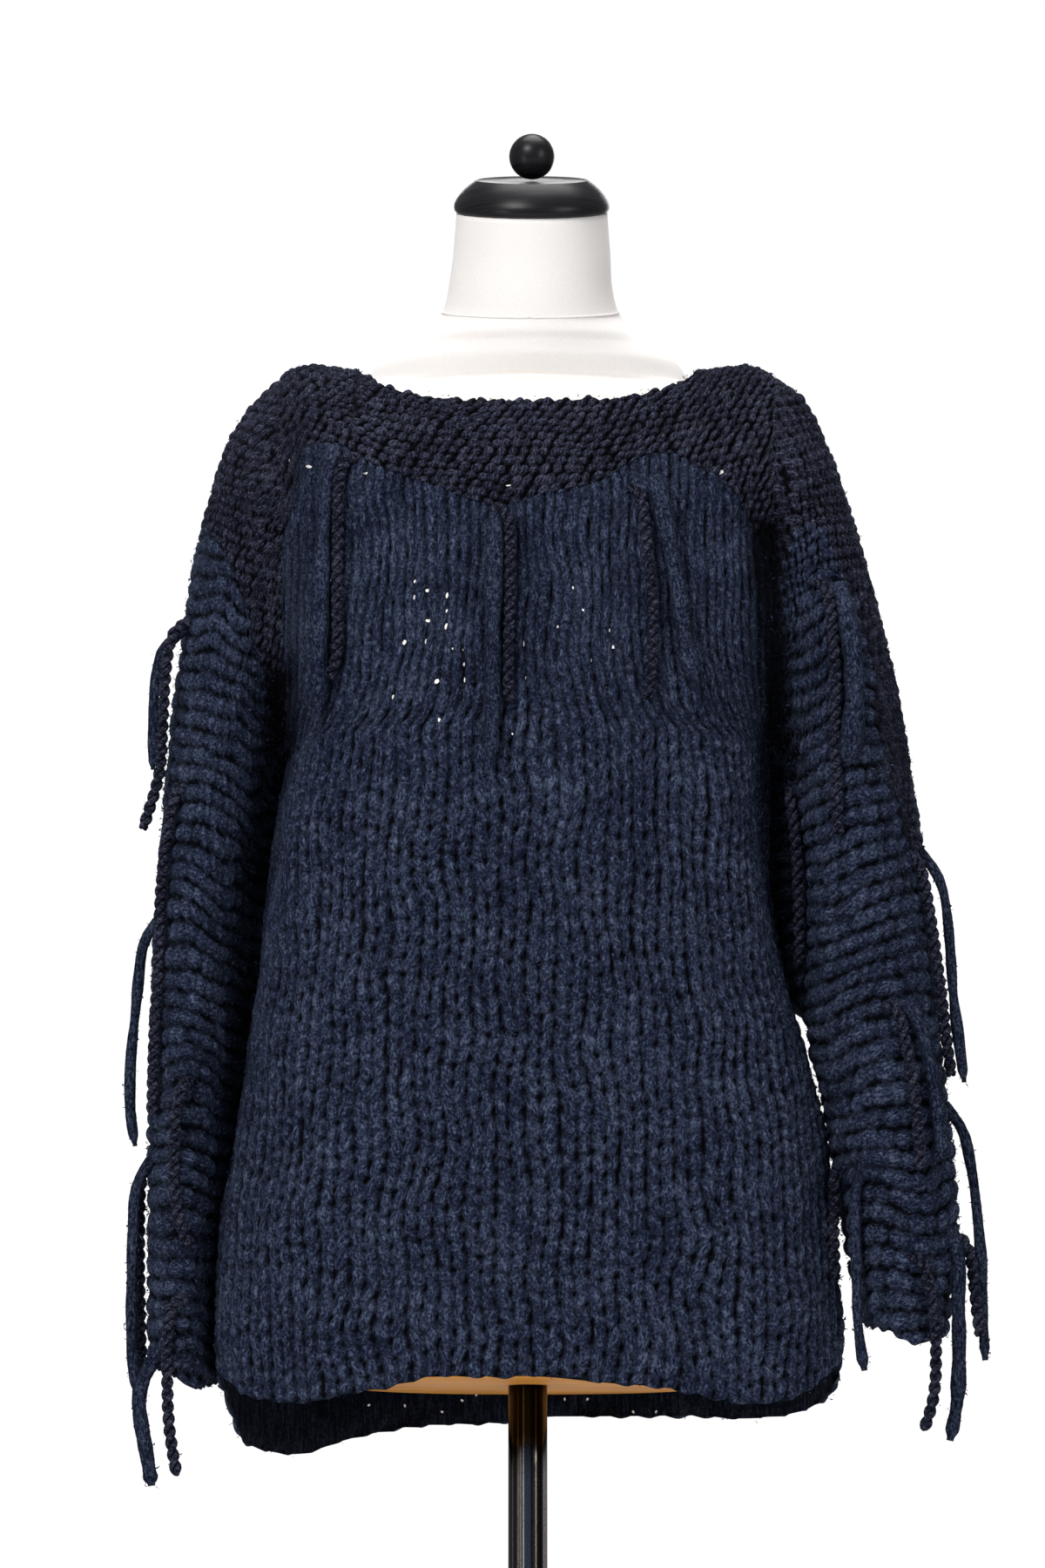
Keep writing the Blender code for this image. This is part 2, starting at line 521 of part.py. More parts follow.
def sleeve_surface(table, side, front_smooth, back_smooth):
    """Functions for the outer skin of a sleeve: ring 0 is the armhole, ring 12 the cuff."""
    places = 144
    rings = np.zeros((len(table), places + 1, 3))
    edges = []
    for smooth in (front_smooth, back_smooth):
        under = (UNDERARM - LOWEST) / (SPRING - LOWEST)
        levels = np.linspace(2, under, 200)
        edges.append(smooth(np.full(200, float(side)), levels))
    front_edge = even_along(edges[0], places // 2 + 1)
    back_edge = even_along(edges[1], places // 2 + 1)
    rings[0] = np.concatenate([front_edge, back_edge[::-1][1:]])
    rings[0, :, 0] += side * SEAM_GAP
    turn = np.linspace(0, 2 * pi, 361)
    for row in range(1, len(table)):
        outer_x, outer_z, inner_x, inner_z, half_depth, centre_y = table[row]
        middle = np.array([(outer_x + inner_x) / 2, centre_y, (outer_z + inner_z) / 2])
        reach = np.array([(outer_x - inner_x) / 2, 0, (outer_z - inner_z) / 2])
        loop = (middle + np.cos(turn)[:, None] * reach
                - np.sin(turn)[:, None] * np.array([0, half_depth, 0]))
        half = len(turn) // 2
        front_half = even_along(loop[:half + 1], places // 2 + 1)
        back_half = even_along(loop[half:], places // 2 + 1)
        rings[row] = np.concatenate([front_half, back_half[1:]])
    fine_rings = np.linspace(0, CUFF_RING, 121)
    fine = np.zeros((len(fine_rings), places + 1, 3))
    for place in range(places + 1):
        for axis in range(3):
            fine[:, place, axis] = smooth_curve(np.arange(len(table)), rings[:, place, axis])(fine_rings)
    centres = fine.mean(axis=1)
    turns = np.linspace(0, 1, places + 1)

    def skin(ring, turn_share):
        return sample_grid(fine, fine_rings, turns, ring, np.mod(turn_share, 1.0))

    def outward(ring, turn_share):
        ring = np.asarray(ring, float)
        after = skin(np.minimum(ring + 0.08, CUFF_RING), turn_share)
        before = skin(np.maximum(ring - 0.08, 0), turn_share)
        dr = after - before
        ds = skin(ring, turn_share + 0.012) - skin(ring, turn_share - 0.012)
        normal = np.cross(dr, ds)
        normal[..., 0] = np.where(ring < 0.02, 0, normal[..., 0])
        normal /= np.maximum(np.linalg.norm(normal, axis=-1, keepdims=True), 1e-9)
        centre = np.stack([np.interp(ring, fine_rings, centres[:, k]) for k in range(3)], -1)
        away = np.sum(normal * (skin(ring, turn_share) - centre), axis=-1, keepdims=True)
        return np.where(away < 0, -normal, normal)

    return skin, outward


def sleeve_piece(name, surface, start, end, rows, inner_rows, ridged, material, collection):
    """A tube of the sleeve between two rings, each given for every turn."""
    skin, outward = surface
    turns = np.arange(SLEEVE_COLUMNS) / SLEEVE_COLUMNS
    share = np.linspace(0, 1, rows + 1)
    inner_share = np.linspace(0, 1, inner_rows + 1)

    def lay(columns, shares):
        ring = start(columns)[None, :] + (end(columns) - start(columns))[None, :] * shares[:, None]
        return ring, np.broadcast_to(columns, ring.shape)

    r, s = lay(turns, share)
    outer = skin(r, s)
    if ridged:
        groove = np.zeros(r.shape)
        groove[2:-1:2] = SLEEVE_RIDGE_DEPTH
        outer = outer - outward(r, s) * groove[..., None]
    ir, inner_s = lay(turns[::2], inner_share)
    inner = skin(ir, inner_s) - outward(ir, inner_s) * WALL
    return wall(name, outer, inner, True, material, collection)


def build_sweater(materials, collection):
    front = body_surface(True)
    back = body_surface(False)
    items = []
    for label, facing_front, surface, hem, yoke, neck in (
            ("front", True, front, FRONT_HEM, FRONT_YOKE, FRONT_NECK),
            ("back", False, back, BACK_HEM, BACK_YOKE, BACK_NECK)):
        smooth = surface[2]

        def hem_level(across, smooth=smooth, hem=hem):
            x = smooth(across, np.full(across.shape, 0.11))[:, 0]
            return level_of(smooth_curve(hem[:, 0], hem[:, 1])(x), x)

        def yoke_level(across, smooth=smooth, yoke=yoke):
            x = smooth(across, np.full(across.shape, 1.1))[:, 0]
            return level_of(smooth_curve(yoke[:, 0], yoke[:, 1])(x), x)

        def neck_level(across, smooth=smooth, neck=neck):
            x = smooth(across, np.full(across.shape, 1.8))[:, 0]
            return level_of(smooth_curve(neck[:, 0], neck[:, 1])(np.abs(x)), x)

        items.append(body_piece(label + "_panel", facing_front, hem_level, yoke_level, BODY_ROWS,
                                True, surface, materials["navy_wool"], collection))
        items.append(body_piece("yoke_" + label, facing_front, yoke_level, neck_level, YOKE_ROWS,
                                False, surface, materials["dark_wool"], collection))

    for label, side, table, cap_end in (("left", -1, LEFT_SLEEVE, LEFT_CAP_END),
                                        ("right", 1, RIGHT_SLEEVE, RIGHT_CAP_END)):
        surface = sleeve_surface(table, side, front[2], back[2])
        skin = surface[0]
        end_curve = smooth_curve(cap_end[:, 0], cap_end[:, 1])

        def cap_start(turn):
            return np.zeros(turn.shape)

        def cap_stop(turn, end_curve=end_curve):
            return end_curve(turn)

        def sleeve_start(turn, end_curve=end_curve, skin=skin):
            ring = end_curve(turn)
            speed = np.linalg.norm(skin(ring + 0.1, turn) - skin(ring, turn), axis=-1) / 0.1
            return ring + 1.3 * SEAM_GAP / speed

        def sleeve_stop(turn):
            return np.full(turn.shape, CUFF_RING)

        items.append(sleeve_piece("sleeve_cap_" + label, surface, cap_start, cap_stop, CAP_ROWS, 4,
                                  False, materials["dark_wool"], collection))
        items.append(sleeve_piece("sleeve_" + label, surface, sleeve_start, sleeve_stop,
                                  2 * SLEEVE_RIDGES, 16, True, materials["navy_wool"], collection))
    return items


def build_form(materials, collection):
    """The covered torso with its neck, from smooth tilted sections."""
    columns = 28
    turn = np.linspace(0, 2 * pi, columns, endpoint=False)
    rings = []
    for height, width, front, back, power, cx, cy, tilt in FORM:
        x = width * signed_power(np.sin(turn), 2 / power)
        depth = np.where(np.cos(turn) > 0, front, back)
        y = -depth * signed_power(np.cos(turn), 2 / power)
        lean = radians(tilt)
        rings.append(np.stack([cx + x, cy + y * cos(lean), height + y * sin(lean)], 1))
    points = np.concatenate(rings)
    ids = np.arange(len(points)).reshape(len(rings), columns)
    faces = grid_faces(ids, True)
    faces.append(tuple(ids[0]))
    faces.append(tuple(ids[-1]))
    make_object("form_torso", points, faces, materials["form_cover"], collection)

    edge = 36
    turn = np.linspace(0, 2 * pi, edge, endpoint=False)
    outline = np.stack([0.130 * signed_power(np.sin(turn), 0.9), -0.095 * signed_power(np.cos(turn), 0.9)], 1)
    rings = []
    for height, scale in ((BOARD_LOW, 0.985), (BOARD_LOW + 0.002, 1),
                          (BOARD_TOP - 0.002, 1), (BOARD_TOP, 0.985)):
        rings.append(np.column_stack([outline * scale, np.full(edge, height)]))
    ids = np.arange(4 * edge).reshape(4, edge)
    faces = grid_faces(ids, True) + [tuple(ids[0]), tuple(ids[-1])]
    make_object("form_board", np.concatenate(rings), faces, materials["form_board"], collection)


def turned(name, profile, columns, material, collection, place=(0, 0, 0), tilt=0.0):
    """A solid turned from a profile of radius and height, its ends closed flat."""
    turn = np.linspace(0, 2 * pi, columns, endpoint=False)
    rings = []
    for radius, height in profile:
        x = radius * np.cos(turn)
        y = radius * np.sin(turn)
        rings.append(np.stack([place[0] + x, place[1] + y * cos(tilt) - height * sin(tilt),
                               place[2] + y * sin(tilt) + height * cos(tilt)], 1))
    ids = np.arange(len(profile) * columns).reshape(len(profile), columns)
    faces = grid_faces(ids, True) + [tuple(ids[0]), tuple(ids[-1])]
    return make_object(name, np.concatenate(rings), faces, material, collection)


def build_stand(materials, collection):
    turned("neck_cap", CAP_PROFILE, 32, materials["black_lacquer"], collection, CAP_CENTRE, CAP_TILT)
    ball = []
    for step in range(1, 12):
        angle = pi * step / 12
        ball.append((BALL_RADIUS * sin(angle), BALL_HEIGHT - BALL_RADIUS * cos(angle)))
    turned("cap_ball", ball, 20, materials["black_lacquer"], collection, CAP_CENTRE, CAP_TILT)
    pole = [(POLE_RADIUS, POLE_FOOT), (POLE_RADIUS, BOARD_LOW - SEAM_GAP)]
    turned("pole", pole, 32, materials["chrome"], collection)
    turned("base", BASE_PROFILE, 40, materials["stand_base"], collection)


def cloth_tree(items):
    points = []
    faces = []
    for item in items:
        start = len(points)
        points += [tuple(v.co) for v in item.data.vertices]
        faces += [tuple(start + i for i in f.vertices) for f in item.data.polygons]
    return BVHTree.FromPolygons(points, faces)


def settle(tree, point, half, clearance):
    """Move a point straight away from the cloth until it is clear of it."""
    for _ in range(4):
        near, _, _, distance = tree.find_nearest(point)
        if near is None or distance >= half + clearance:
            break
        away = (point - near).normalized()
        if away.length < 0.5:
            away = Vector((0, -1, 0))
        point = near + away * (half + clearance + 0.0002)
    return point


def strand_path(tree, yarn, depth, path):
    """Lay a hanging strand in front of the cloth behind it."""
    half = CORD if yarn == "cord" else ROVING
    path = np.array(path)
    heights = np.linspace(path[0, 1], path[-1, 1], max(4, 1 + int((path[0, 1] - path[-1, 1]) / 0.026)))
    xs = smooth_curve(path[::-1, 1], path[::-1, 0])(heights)
    ys = []
    for x, z in zip(xs, heights):
        found = []
        for shift in (-half, 0, half):
            hit = tree.ray_cast(Vector((x + shift, -1, z)), Vector((0, 1, 0)))[0]
            if hit is not None and hit.y < 0.03:
                found.append(hit.y)
        ys.append(min(found) - half - STRAND_CLEARANCE if found else None)
    known = [y for y in ys if y is not None]
    last = known[0] if known else depth
    points = []
    for x, y, z in zip(xs, ys, heights):
        if y is not None:
            last = min(y, last + STRAND_DRIFT)
        points.append(settle(tree, Vector((x, last, z)), half * 1.42, STRAND_CLEARANCE))
    return half, points


def build_tassels(tree, materials, collection):
    """Each tassel is one body: a knot with its strands growing from the underside."""
    for name, strands in TASSELS.items():
        laid = [strand_path(tree, yarn, depth, path) for yarn, depth, path in strands]
        if len(laid) == 2:
            first_half, first = laid[0]
            second_half, second = laid[1]
            first_z = [p.z for p in first][::-1]
            first_x = [p.x for p in first][::-1]
            for p in second:
                if p.z >= first_z[0] - 0.004:
                    beside = float(np.interp(p.z, first_z, first_x)) + first_half + second_half
                    p.x = max(p.x, beside + 0.0012)
        points = []
        faces = []
        roots = [(half, path[0]) for half, path in laid]
        root_y = min(p.y for _, p in roots)
        knot_half = max(half for half, _ in roots)
        lefts = [roots[0][1].x - roots[0][0]]
        if len(roots) == 2:
            lefts.append((roots[0][1].x + roots[0][0] + roots[1][1].x - roots[1][0]) / 2)
        lefts.append(roots[-1][1].x + roots[-1][0])
        root_z = roots[0][1].z
        for height, grow in ((root_z + KNOT_HEIGHT, 0.7), (root_z + KNOT_HEIGHT * 0.5, 1.15),
                             (root_z, 1.0)):
            middle = (lefts[0] + lefts[-1]) / 2
            for y in (root_y - knot_half * grow, root_y + knot_half):
                for x in lefts:
                    points.append((middle + (x - middle) * grow, y, height))
        wide = len(lefts)
        for layer in range(2):
            a = layer * 2 * wide
            b = a + 2 * wide
            for k in range(wide - 1):
                faces.append((a + k, a + k + 1, b + k + 1, b + k))
                faces.append((a + wide + k, b + wide + k, b + wide + k + 1, a + wide + k + 1))
            faces.append((a, b, b + wide, a + wide))
            faces.append((a + wide - 1, a + 2 * wide - 1, b + 2 * wide - 1, b + wide - 1))
        for k in range(wide - 1):
            faces.append((k, wide + k, wide + k + 1, k + 1))
        foot = 4 * wide
        for k, (half, path) in enumerate(laid):
            previous = (foot + k, foot + k + 1, foot + wide + k + 1, foot + wide + k)
            for place, p in enumerate(path[1:]):
                size = half if place < len(path) - 2 else half * 0.6
                start = len(points)
                for dx, dy in ((-size, -size), (size, -size), (size, size), (-size, size)):
                    points.append((p.x + dx, p.y + dy, p.z))
                ring = (start, start + 1, start + 2, start + 3)
                for e in range(4):
                    f = (e + 1) % 4
                    faces.append((previous[e], previous[f], ring[f], ring[e]))
                previous = ring
            faces.append(previous)
        middle = sum((path[0] for _, path in laid), Vector()) / len(laid)
        push = tree.find_nearest(middle)[1] * PUSH_STEP
        points = [Vector(p) for p in points]
        tries = 0
        while tries < 40 and BVHTree.FromPolygons(points, faces).overlap(tree):
            points = [p + push for p in points]
            tries += 1
        knot_size = 6 * wide
        seat = push.normalized() * SEAM_GAP
        tries = 0
        while tries < 60:
            trial = [p - seat for p in points[:knot_size]] + points[knot_size:]
            if BVHTree.FromPolygons(trial, faces).overlap(tree):
                break
            points = trial
            tries += 1
        points = [p + seat for p in points[:knot_size]] + points[knot_size:]
        plain = all(yarn == "roving" for yarn, _, _ in strands)
        make_object(name, points, faces, materials["navy_wool" if plain else "dark_wool"], collection)


def main():
    for item in list(bpy.data.objects):
        bpy.data.objects.remove(item, do_unlink=True)
    collection = bpy.data.collections.new("chunky_knit_sweater")
    bpy.context.scene.collection.children.link(collection)
    materials = {}
    for name, (colour, roughness, metallic) in MATERIALS.items():
        material = bpy.data.materials.new(name)
        material.use_nodes = True
        shader = material.node_tree.nodes["Principled BSDF"]
        shader.inputs["Base Color"].default_value = (*colour, 1)
        shader.inputs["Roughness"].default_value = roughness
        shader.inputs["Metallic"].default_value = metallic
        materials[name] = material
    cloth = build_sweater(materials, collection)
    build_form(materials, collection)
    build_stand(materials, collection)
    build_tassels(cloth_tree(cloth), materials, collection)


main()
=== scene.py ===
"""The finished look of the chunky knit sweater on its dress form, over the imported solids.

The knitted pieces repeat the sizes of the solids and carry their stitches as real relief.
"""
from math import cos, pi, sin

import bpy
import numpy as np
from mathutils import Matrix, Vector
from mathutils.bvhtree import BVHTree


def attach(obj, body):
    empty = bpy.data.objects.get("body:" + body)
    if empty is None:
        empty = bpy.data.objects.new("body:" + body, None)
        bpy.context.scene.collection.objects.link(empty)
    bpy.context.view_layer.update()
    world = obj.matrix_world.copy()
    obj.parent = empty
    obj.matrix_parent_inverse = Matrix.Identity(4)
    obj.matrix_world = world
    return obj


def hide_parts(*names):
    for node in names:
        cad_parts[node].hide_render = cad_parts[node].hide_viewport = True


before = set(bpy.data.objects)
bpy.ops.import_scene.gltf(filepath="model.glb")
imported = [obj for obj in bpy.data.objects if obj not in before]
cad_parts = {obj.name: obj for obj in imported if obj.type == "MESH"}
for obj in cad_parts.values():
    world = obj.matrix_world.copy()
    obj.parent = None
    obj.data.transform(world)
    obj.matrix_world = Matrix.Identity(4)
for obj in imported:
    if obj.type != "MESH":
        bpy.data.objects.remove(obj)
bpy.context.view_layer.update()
chance = np.random.default_rng(11)

# Cloth sizes, as in the solids
WALL = 0.007
BODY_POWER = 2.3
SPRING = 1.220
LOWEST = 0.560
UNDERARM = 1.083
SHOULDER_END = 1.3483
ARMHOLE_DEPTH = 0.60
ARMHOLE_HALF = 0.168
ARMHOLE_FLARE = 0.004
ARMHOLE_WIDEST = 1.200
SEAM_GAP = 0.0003
SEAM_OVERLAP = 0.0012
CUFF_RING = 12.0
RING_PLACES = 144

# Small steps along a surface that give its direction
SKIN_STEP = 0.012
RING_STEP = 0.08

# Knit sizes. A stitch has two legs, and a bead's half length and width are shares of its cell
WALES = 26
WALE = 0.0195
LEG_LEAN = 15
LEG_HALF_LENGTH = 0.0098
LEG_HALF_WIDTH = 0.0050
BEAD_LENGTH = 0.62
BEAD_WIDTH = 0.56
ROW = 0.0117
NAVY_RELIEF = 0.0054
NAVY_SINK = 0.0046
DARK_STITCH = 0.0100
DARK_ROW = 0.0070
DARK_RELIEF = 0.0040
DARK_SINK = 0.0033
RIDGE_PITCH = 0.0140
RIDGE_STITCH = 0.0112
EDGE_ROUND = 0.0060
SCALLOP_REACH = 0.010
SCALLOP_RISE = 0.0012
SCALLOP_DRIFT = 0.0014
CUFF_SCALLOP = 0.014
# Depth mark of every inner skin, kept low as painted shade on the inside of the cloth
INNER_RISE_PAINTED_SHADE = 0.34
SLEEVE_TOP = 1.40
SLEEVE_MIDDLE = 0.24
SLEEVE_SEED = {-1: 60, 1: 50}
SLEEVE_DARK_ROW = 0.0085
SLEEVE_DARK_STITCH = 0.0102
NECK_REACH = 0.122
FAR = 1.0

# The felted patch of the chest: inner limit across, lower limit, share of relief lost
FELT_ACROSS = -0.100
FELT_LOW = 1.06
FELT_SHARE = 0.42

# Where the place across is read for an edge, in levels: 1 is the foot of the shoulder, 2 its ridge
HEM_LEVEL = 0.11
YOKE_LEVEL = 1.1
NECK_LEVEL = 1.8

# Grid counts: across or round, along
PANEL_GRID = (270, 310)
YOKE_GRID = (300, 84)
CAP_GRID = (250, 100)
SLEEVE_GRID = (170, 320)
INNER_COARSE = 5
PROXY_COARSE = 6

# Yarn strands, half widths
CORD = 0.0040
ROVING = 0.0062
STRAND_CLEARANCE = 0.0016
STRAND_DRIFT = 0.004
STRAND_STEP = 0.0016
TWIST_LENGTH = 0.0165
CORD_SIDES = 8
ROVING_SIDES = 12
ROVING_FLAT = 0.60

# Loose fibres: half width, and how high in the knit they count as, which sets their painted shade
FIBRE_HALF = 0.00007
FIBRE_RISE = 0.8

# Stand sizes
POLE_RADIUS = 0.0134
POLE_FOOT = 0.0293
BOARD_LOW = 0.6400
BOARD_HALF = (0.130, 0.095)
BOARD_POWER = 0.9
BOARD_PROFILE = [(0.6400, 0.985), (0.6406, 0.995), (0.6420, 1), (0.6500, 1), (0.6514, 0.995), (0.6520, 0.985)]
CAP_TILT = np.radians(18.5)
CAP_CENTRE = (0.0030, -0.0300, 1.4597)
BALL_RADIUS = 0.0160
BALL_HEIGHT = 0.0392
NECK_SEAM_RING = 19.0
NECK_SEAM_HALF = 0.0007

# Camera, from the photograph's own perspective
CAMERA_PLACE = (-0.0036, -4.5, 0.340)
CAMERA_PITCH = np.radians(9.07)
CAMERA_LENS = 150.16

# Body outline by height: height, left half width, right half width, front depth, back depth
BODY = np.array([
    (0.56, 0.208, 0.212, 0.106, 0.106),
    (0.64, 0.212, 0.2145, 0.107, 0.106),
    (0.675, 0.2156, 0.2168, 0.108, 0.106),
    (0.742, 0.2125, 0.2125, 0.11, 0.107),
    (0.813, 0.201, 0.206, 0.113, 0.107),
    (0.862, 0.1945, 0.1947, 0.115, 0.108),
    (0.927, 0.186, 0.1775, 0.118, 0.109),
    (0.997, 0.18, 0.169, 0.122, 0.111),
    (1.04, 0.174, 0.168, 0.124, 0.113),
    (1.083, 0.168, 0.168, 0.125, 0.114),
    (1.22, 0.17, 0.17, 0.122, 0.114),
])
RIDGE = np.array([(0.0, 1.35), (0.12, 1.352), (0.14, 1.3545), (0.152, 1.356),
                  (0.162, 1.354), (0.174, 1.3483)])

# Cloth edges across the body: position across, height
FRONT_HEM = np.array([
    (-0.215, 0.652), (-0.208, 0.643), (-0.2, 0.6337), (-0.19, 0.628), (-0.156, 0.6232),
    (-0.12, 0.629), (-0.097, 0.6326), (-0.062, 0.6396), (-0.004, 0.6396), (0.055, 0.635),
    (0.09, 0.6326), (0.113, 0.629), (0.149, 0.6221), (0.166, 0.6232), (0.184, 0.628),
    (0.198, 0.6366), (0.209, 0.648), (0.217, 0.66),
])
BACK_HEM = np.array([
    (-0.215, 0.648), (-0.209, 0.63), (-0.203, 0.607), (-0.196, 0.601), (-0.186, 0.5985),
    (-0.168, 0.5966), (-0.126, 0.6087), (-0.077, 0.6184), (-0.028, 0.6209), (0.021, 0.6251),
    (0.118, 0.6251), (0.149, 0.6221), (0.179, 0.6233), (0.204, 0.63), (0.213, 0.638),
    (0.217, 0.652),
])
FRONT_YOKE = np.array([
    (-0.172, 1.1976), (-0.162, 1.2462), (-0.154, 1.2809), (-0.138, 1.2839), (-0.105, 1.2644),
    (-0.063, 1.2462), (-0.016, 1.2316), (0.01, 1.2401), (0.05, 1.2504), (0.077, 1.2675),
    (0.095, 1.2736), (0.122, 1.2614), (0.144, 1.2449), (0.16, 1.2182), (0.172, 1.206),
])
BACK_YOKE = np.array([
    (-0.172, 1.2), (-0.155, 1.244), (-0.11, 1.262), (-0.05, 1.25), (0.0, 1.244),
    (0.05, 1.25), (0.11, 1.262), (0.155, 1.244), (0.172, 1.2),
])
FRONT_NECK = np.array([
    (0.0, 1.3168), (0.028, 1.3168), (0.05, 1.318), (0.074, 1.3217), (0.095, 1.33),
    (0.108, 1.339), (0.116, 1.346), (0.122, 1.36),
])
BACK_NECK = np.array([(0.0, 1.327), (0.05, 1.3285), (0.08, 1.333), (0.1, 1.34),
                      (0.112, 1.346), (0.122, 1.36)])

# Soft folds of a body panel: across (-1 to 1), height, half width across, half length, lean, rise
FRONT_FOLDS = [
    (-0.86, 1.04, 0.09, 0.09, 0.25, -0.006),
    (-0.7, 1.0, 0.08, 0.11, 0.2, 0.004),
    (0.86, 1.02, 0.09, 0.08, -0.25, -0.006),
    (0.68, 0.96, 0.09, 0.11, -0.2, 0.0035),
    (-0.8, 0.76, 0.09, 0.11, 0.05, -0.005),
    (-0.58, 0.74, 0.1, 0.12, 0.0, 0.0035),
    (0.82, 0.73, 0.08, 0.1, -0.05, -0.0045),
    (0.05, 0.72, 0.22, 0.1, 0.0, -0.003),
]
BACK_FOLDS = [
    (-0.84, 1.03, 0.09, 0.09, 0.22, -0.006),
    (-0.66, 0.96, 0.09, 0.12, 0.16, 0.0035),
    (0.85, 1.04, 0.09, 0.09, -0.25, -0.0055),
    (0.64, 0.93, 0.1, 0.11, -0.18, 0.004),
    (-0.45, 0.76, 0.11, 0.12, 0.0, -0.0045),
    (0.42, 0.74, 0.1, 0.13, 0.0, -0.004),
]

# Sleeve rings: outer x, outer z, inner x, inner z, half depth, depth centre
RIGHT_SLEEVE = np.array([
    (0.1826, 1.3389, 0.1683, 1.083, 0.07, 0.0),
    (0.1924, 1.3345, 0.1743, 1.078, 0.074, 0.0),
    (0.2105, 1.2988, 0.1791, 1.0682, 0.076, 0.0),
    (0.2273, 1.2489, 0.1815, 1.0571, 0.077, -0.001),
    (0.2421, 1.1942, 0.1832, 1.043, 0.077, -0.002),
    (0.2568, 1.1292, 0.1861, 1.0246, 0.076, -0.003),
    (0.2677, 1.0614, 0.1908, 0.994, 0.074, -0.004),
    (0.2762, 0.997, 0.1923, 0.9482, 0.071, -0.005),
    (0.2828, 0.9299, 0.1925, 0.8964, 0.068, -0.006),
    (0.2881, 0.857, 0.2035, 0.8327, 0.064, -0.007),
    (0.2946, 0.7904, 0.2116, 0.7754, 0.06, -0.008),
    (0.2966, 0.7423, 0.2184, 0.7302, 0.056, -0.008),
    (0.2875, 0.6775, 0.23, 0.6823, 0.051, -0.008),
])
LEFT_SLEEVE = np.array([
    (-0.1851, 1.3389, -0.1683, 1.083, 0.07, 0.0),
    (-0.1966, 1.3251, -0.1737, 1.0756, 0.074, 0.001),
    (-0.213, 1.2957, -0.1785, 1.0645, 0.077, 0.002),
    (-0.2237, 1.2601, -0.1821, 1.0553, 0.079, 0.003),
    (-0.2343, 1.2128, -0.1856, 1.0399, 0.08, 0.004),
    (-0.243, 1.154, -0.1903, 1.0185, 0.081, 0.005),
    (-0.2503, 1.0891, -0.195, 0.9909, 0.08, 0.006),
    (-0.2558, 1.0215, -0.1983, 0.9512, 0.078, 0.007),
    (-0.2594, 0.9482, -0.2028, 0.8964, 0.075, 0.008),
    (-0.2617, 0.8751, -0.2084, 0.8388, 0.071, 0.009),
    (-0.2623, 0.8025, -0.2128, 0.7844, 0.066, 0.01),
    (-0.2629, 0.7362, -0.2172, 0.7272, 0.061, 0.01),
    (-0.2609, 0.6547, -0.219, 0.6434, 0.055, 0.01),
])
LEFT_CAP_END = np.array([(0.0, 3.6), (0.14, 3.0), (0.25, 2.1), (0.4, 1.2), (0.5, 0.9),
                         (0.6, 1.3), (0.75, 2.6), (0.88, 3.4), (1.0, 3.6)])
RIGHT_CAP_END = np.array([(0.0, 5.2), (0.12, 4.0), (0.25, 1.8), (0.4, 1.0), (0.5, 0.9),
                          (0.6, 1.3), (0.75, 2.9), (0.88, 4.6), (1.0, 5.2)])

# Drawing the sleeves' backs in: lowest height by side, top, reach, clearance by height, and painted shade
GAP_LOWEST = {-1: 0.62, 1: 0.885}
GAP_TOP = 1.1
GAP_REACH = 0.04
GAP_CLEARANCE = ((1.02, 1.055), (0.0008, -0.0035))
GAP_PAINTED_SHADE = 0.55

# Deep creases where the sleeves meet the body, pushed in and darkened with painted shade: facing, x and z of
# both ends, half width, depth
CREASES = [
    (-1, 0.164, 1.222, 0.176, 1.06, 0.012, 0.013),
    (-1, -0.17, 1.12, -0.178, 1.05, 0.009, 0.009),
    (1, 0.166, 1.2, 0.177, 1.06, 0.011, 0.01),
    (1, -0.166, 1.2, -0.178, 1.06, 0.011, 0.01),
]

# How each cuff hangs lower in front: cuff height, position across, half width, depth
CUFF_DROOP = {-1: (0.646, -0.227, 0.022, 0.0085), 1: (0.68, 0.264, 0.026, 0.015)}
DROOP_REACH = 0.055
DROOP_TURN = 0.06

# Inner limit of the dark yarn on the outside of the right sleeve: height, position across
DARK_LIMIT = np.array([(0.99, 0.29), (1.005, 0.2666), (1.024, 0.2575), (1.06, 0.245), (1.091, 0.242),
                       (1.146, 0.236), (1.182, 0.23), (1.219, 0.215), (1.237, 0.1816)])

# Top of the navy yarn on the front of the right sleeve: position across, height
NAVY_TOP = np.array([(0.169, 1.173), (0.175, 1.201), (0.183, 1.224), (0.195, 1.23), (0.206, 1.225),
                     (0.215, 1.207), (0.222, 1.18)])

# How steeply the sleeve ridges climb outward, by height
RIDGE_CLIMB = np.array([(0.66, -0.02), (0.78, 0.1), (0.9, 0.24), (1.02, 0.36), (1.15, 0.42), (1.35, 0.45)])

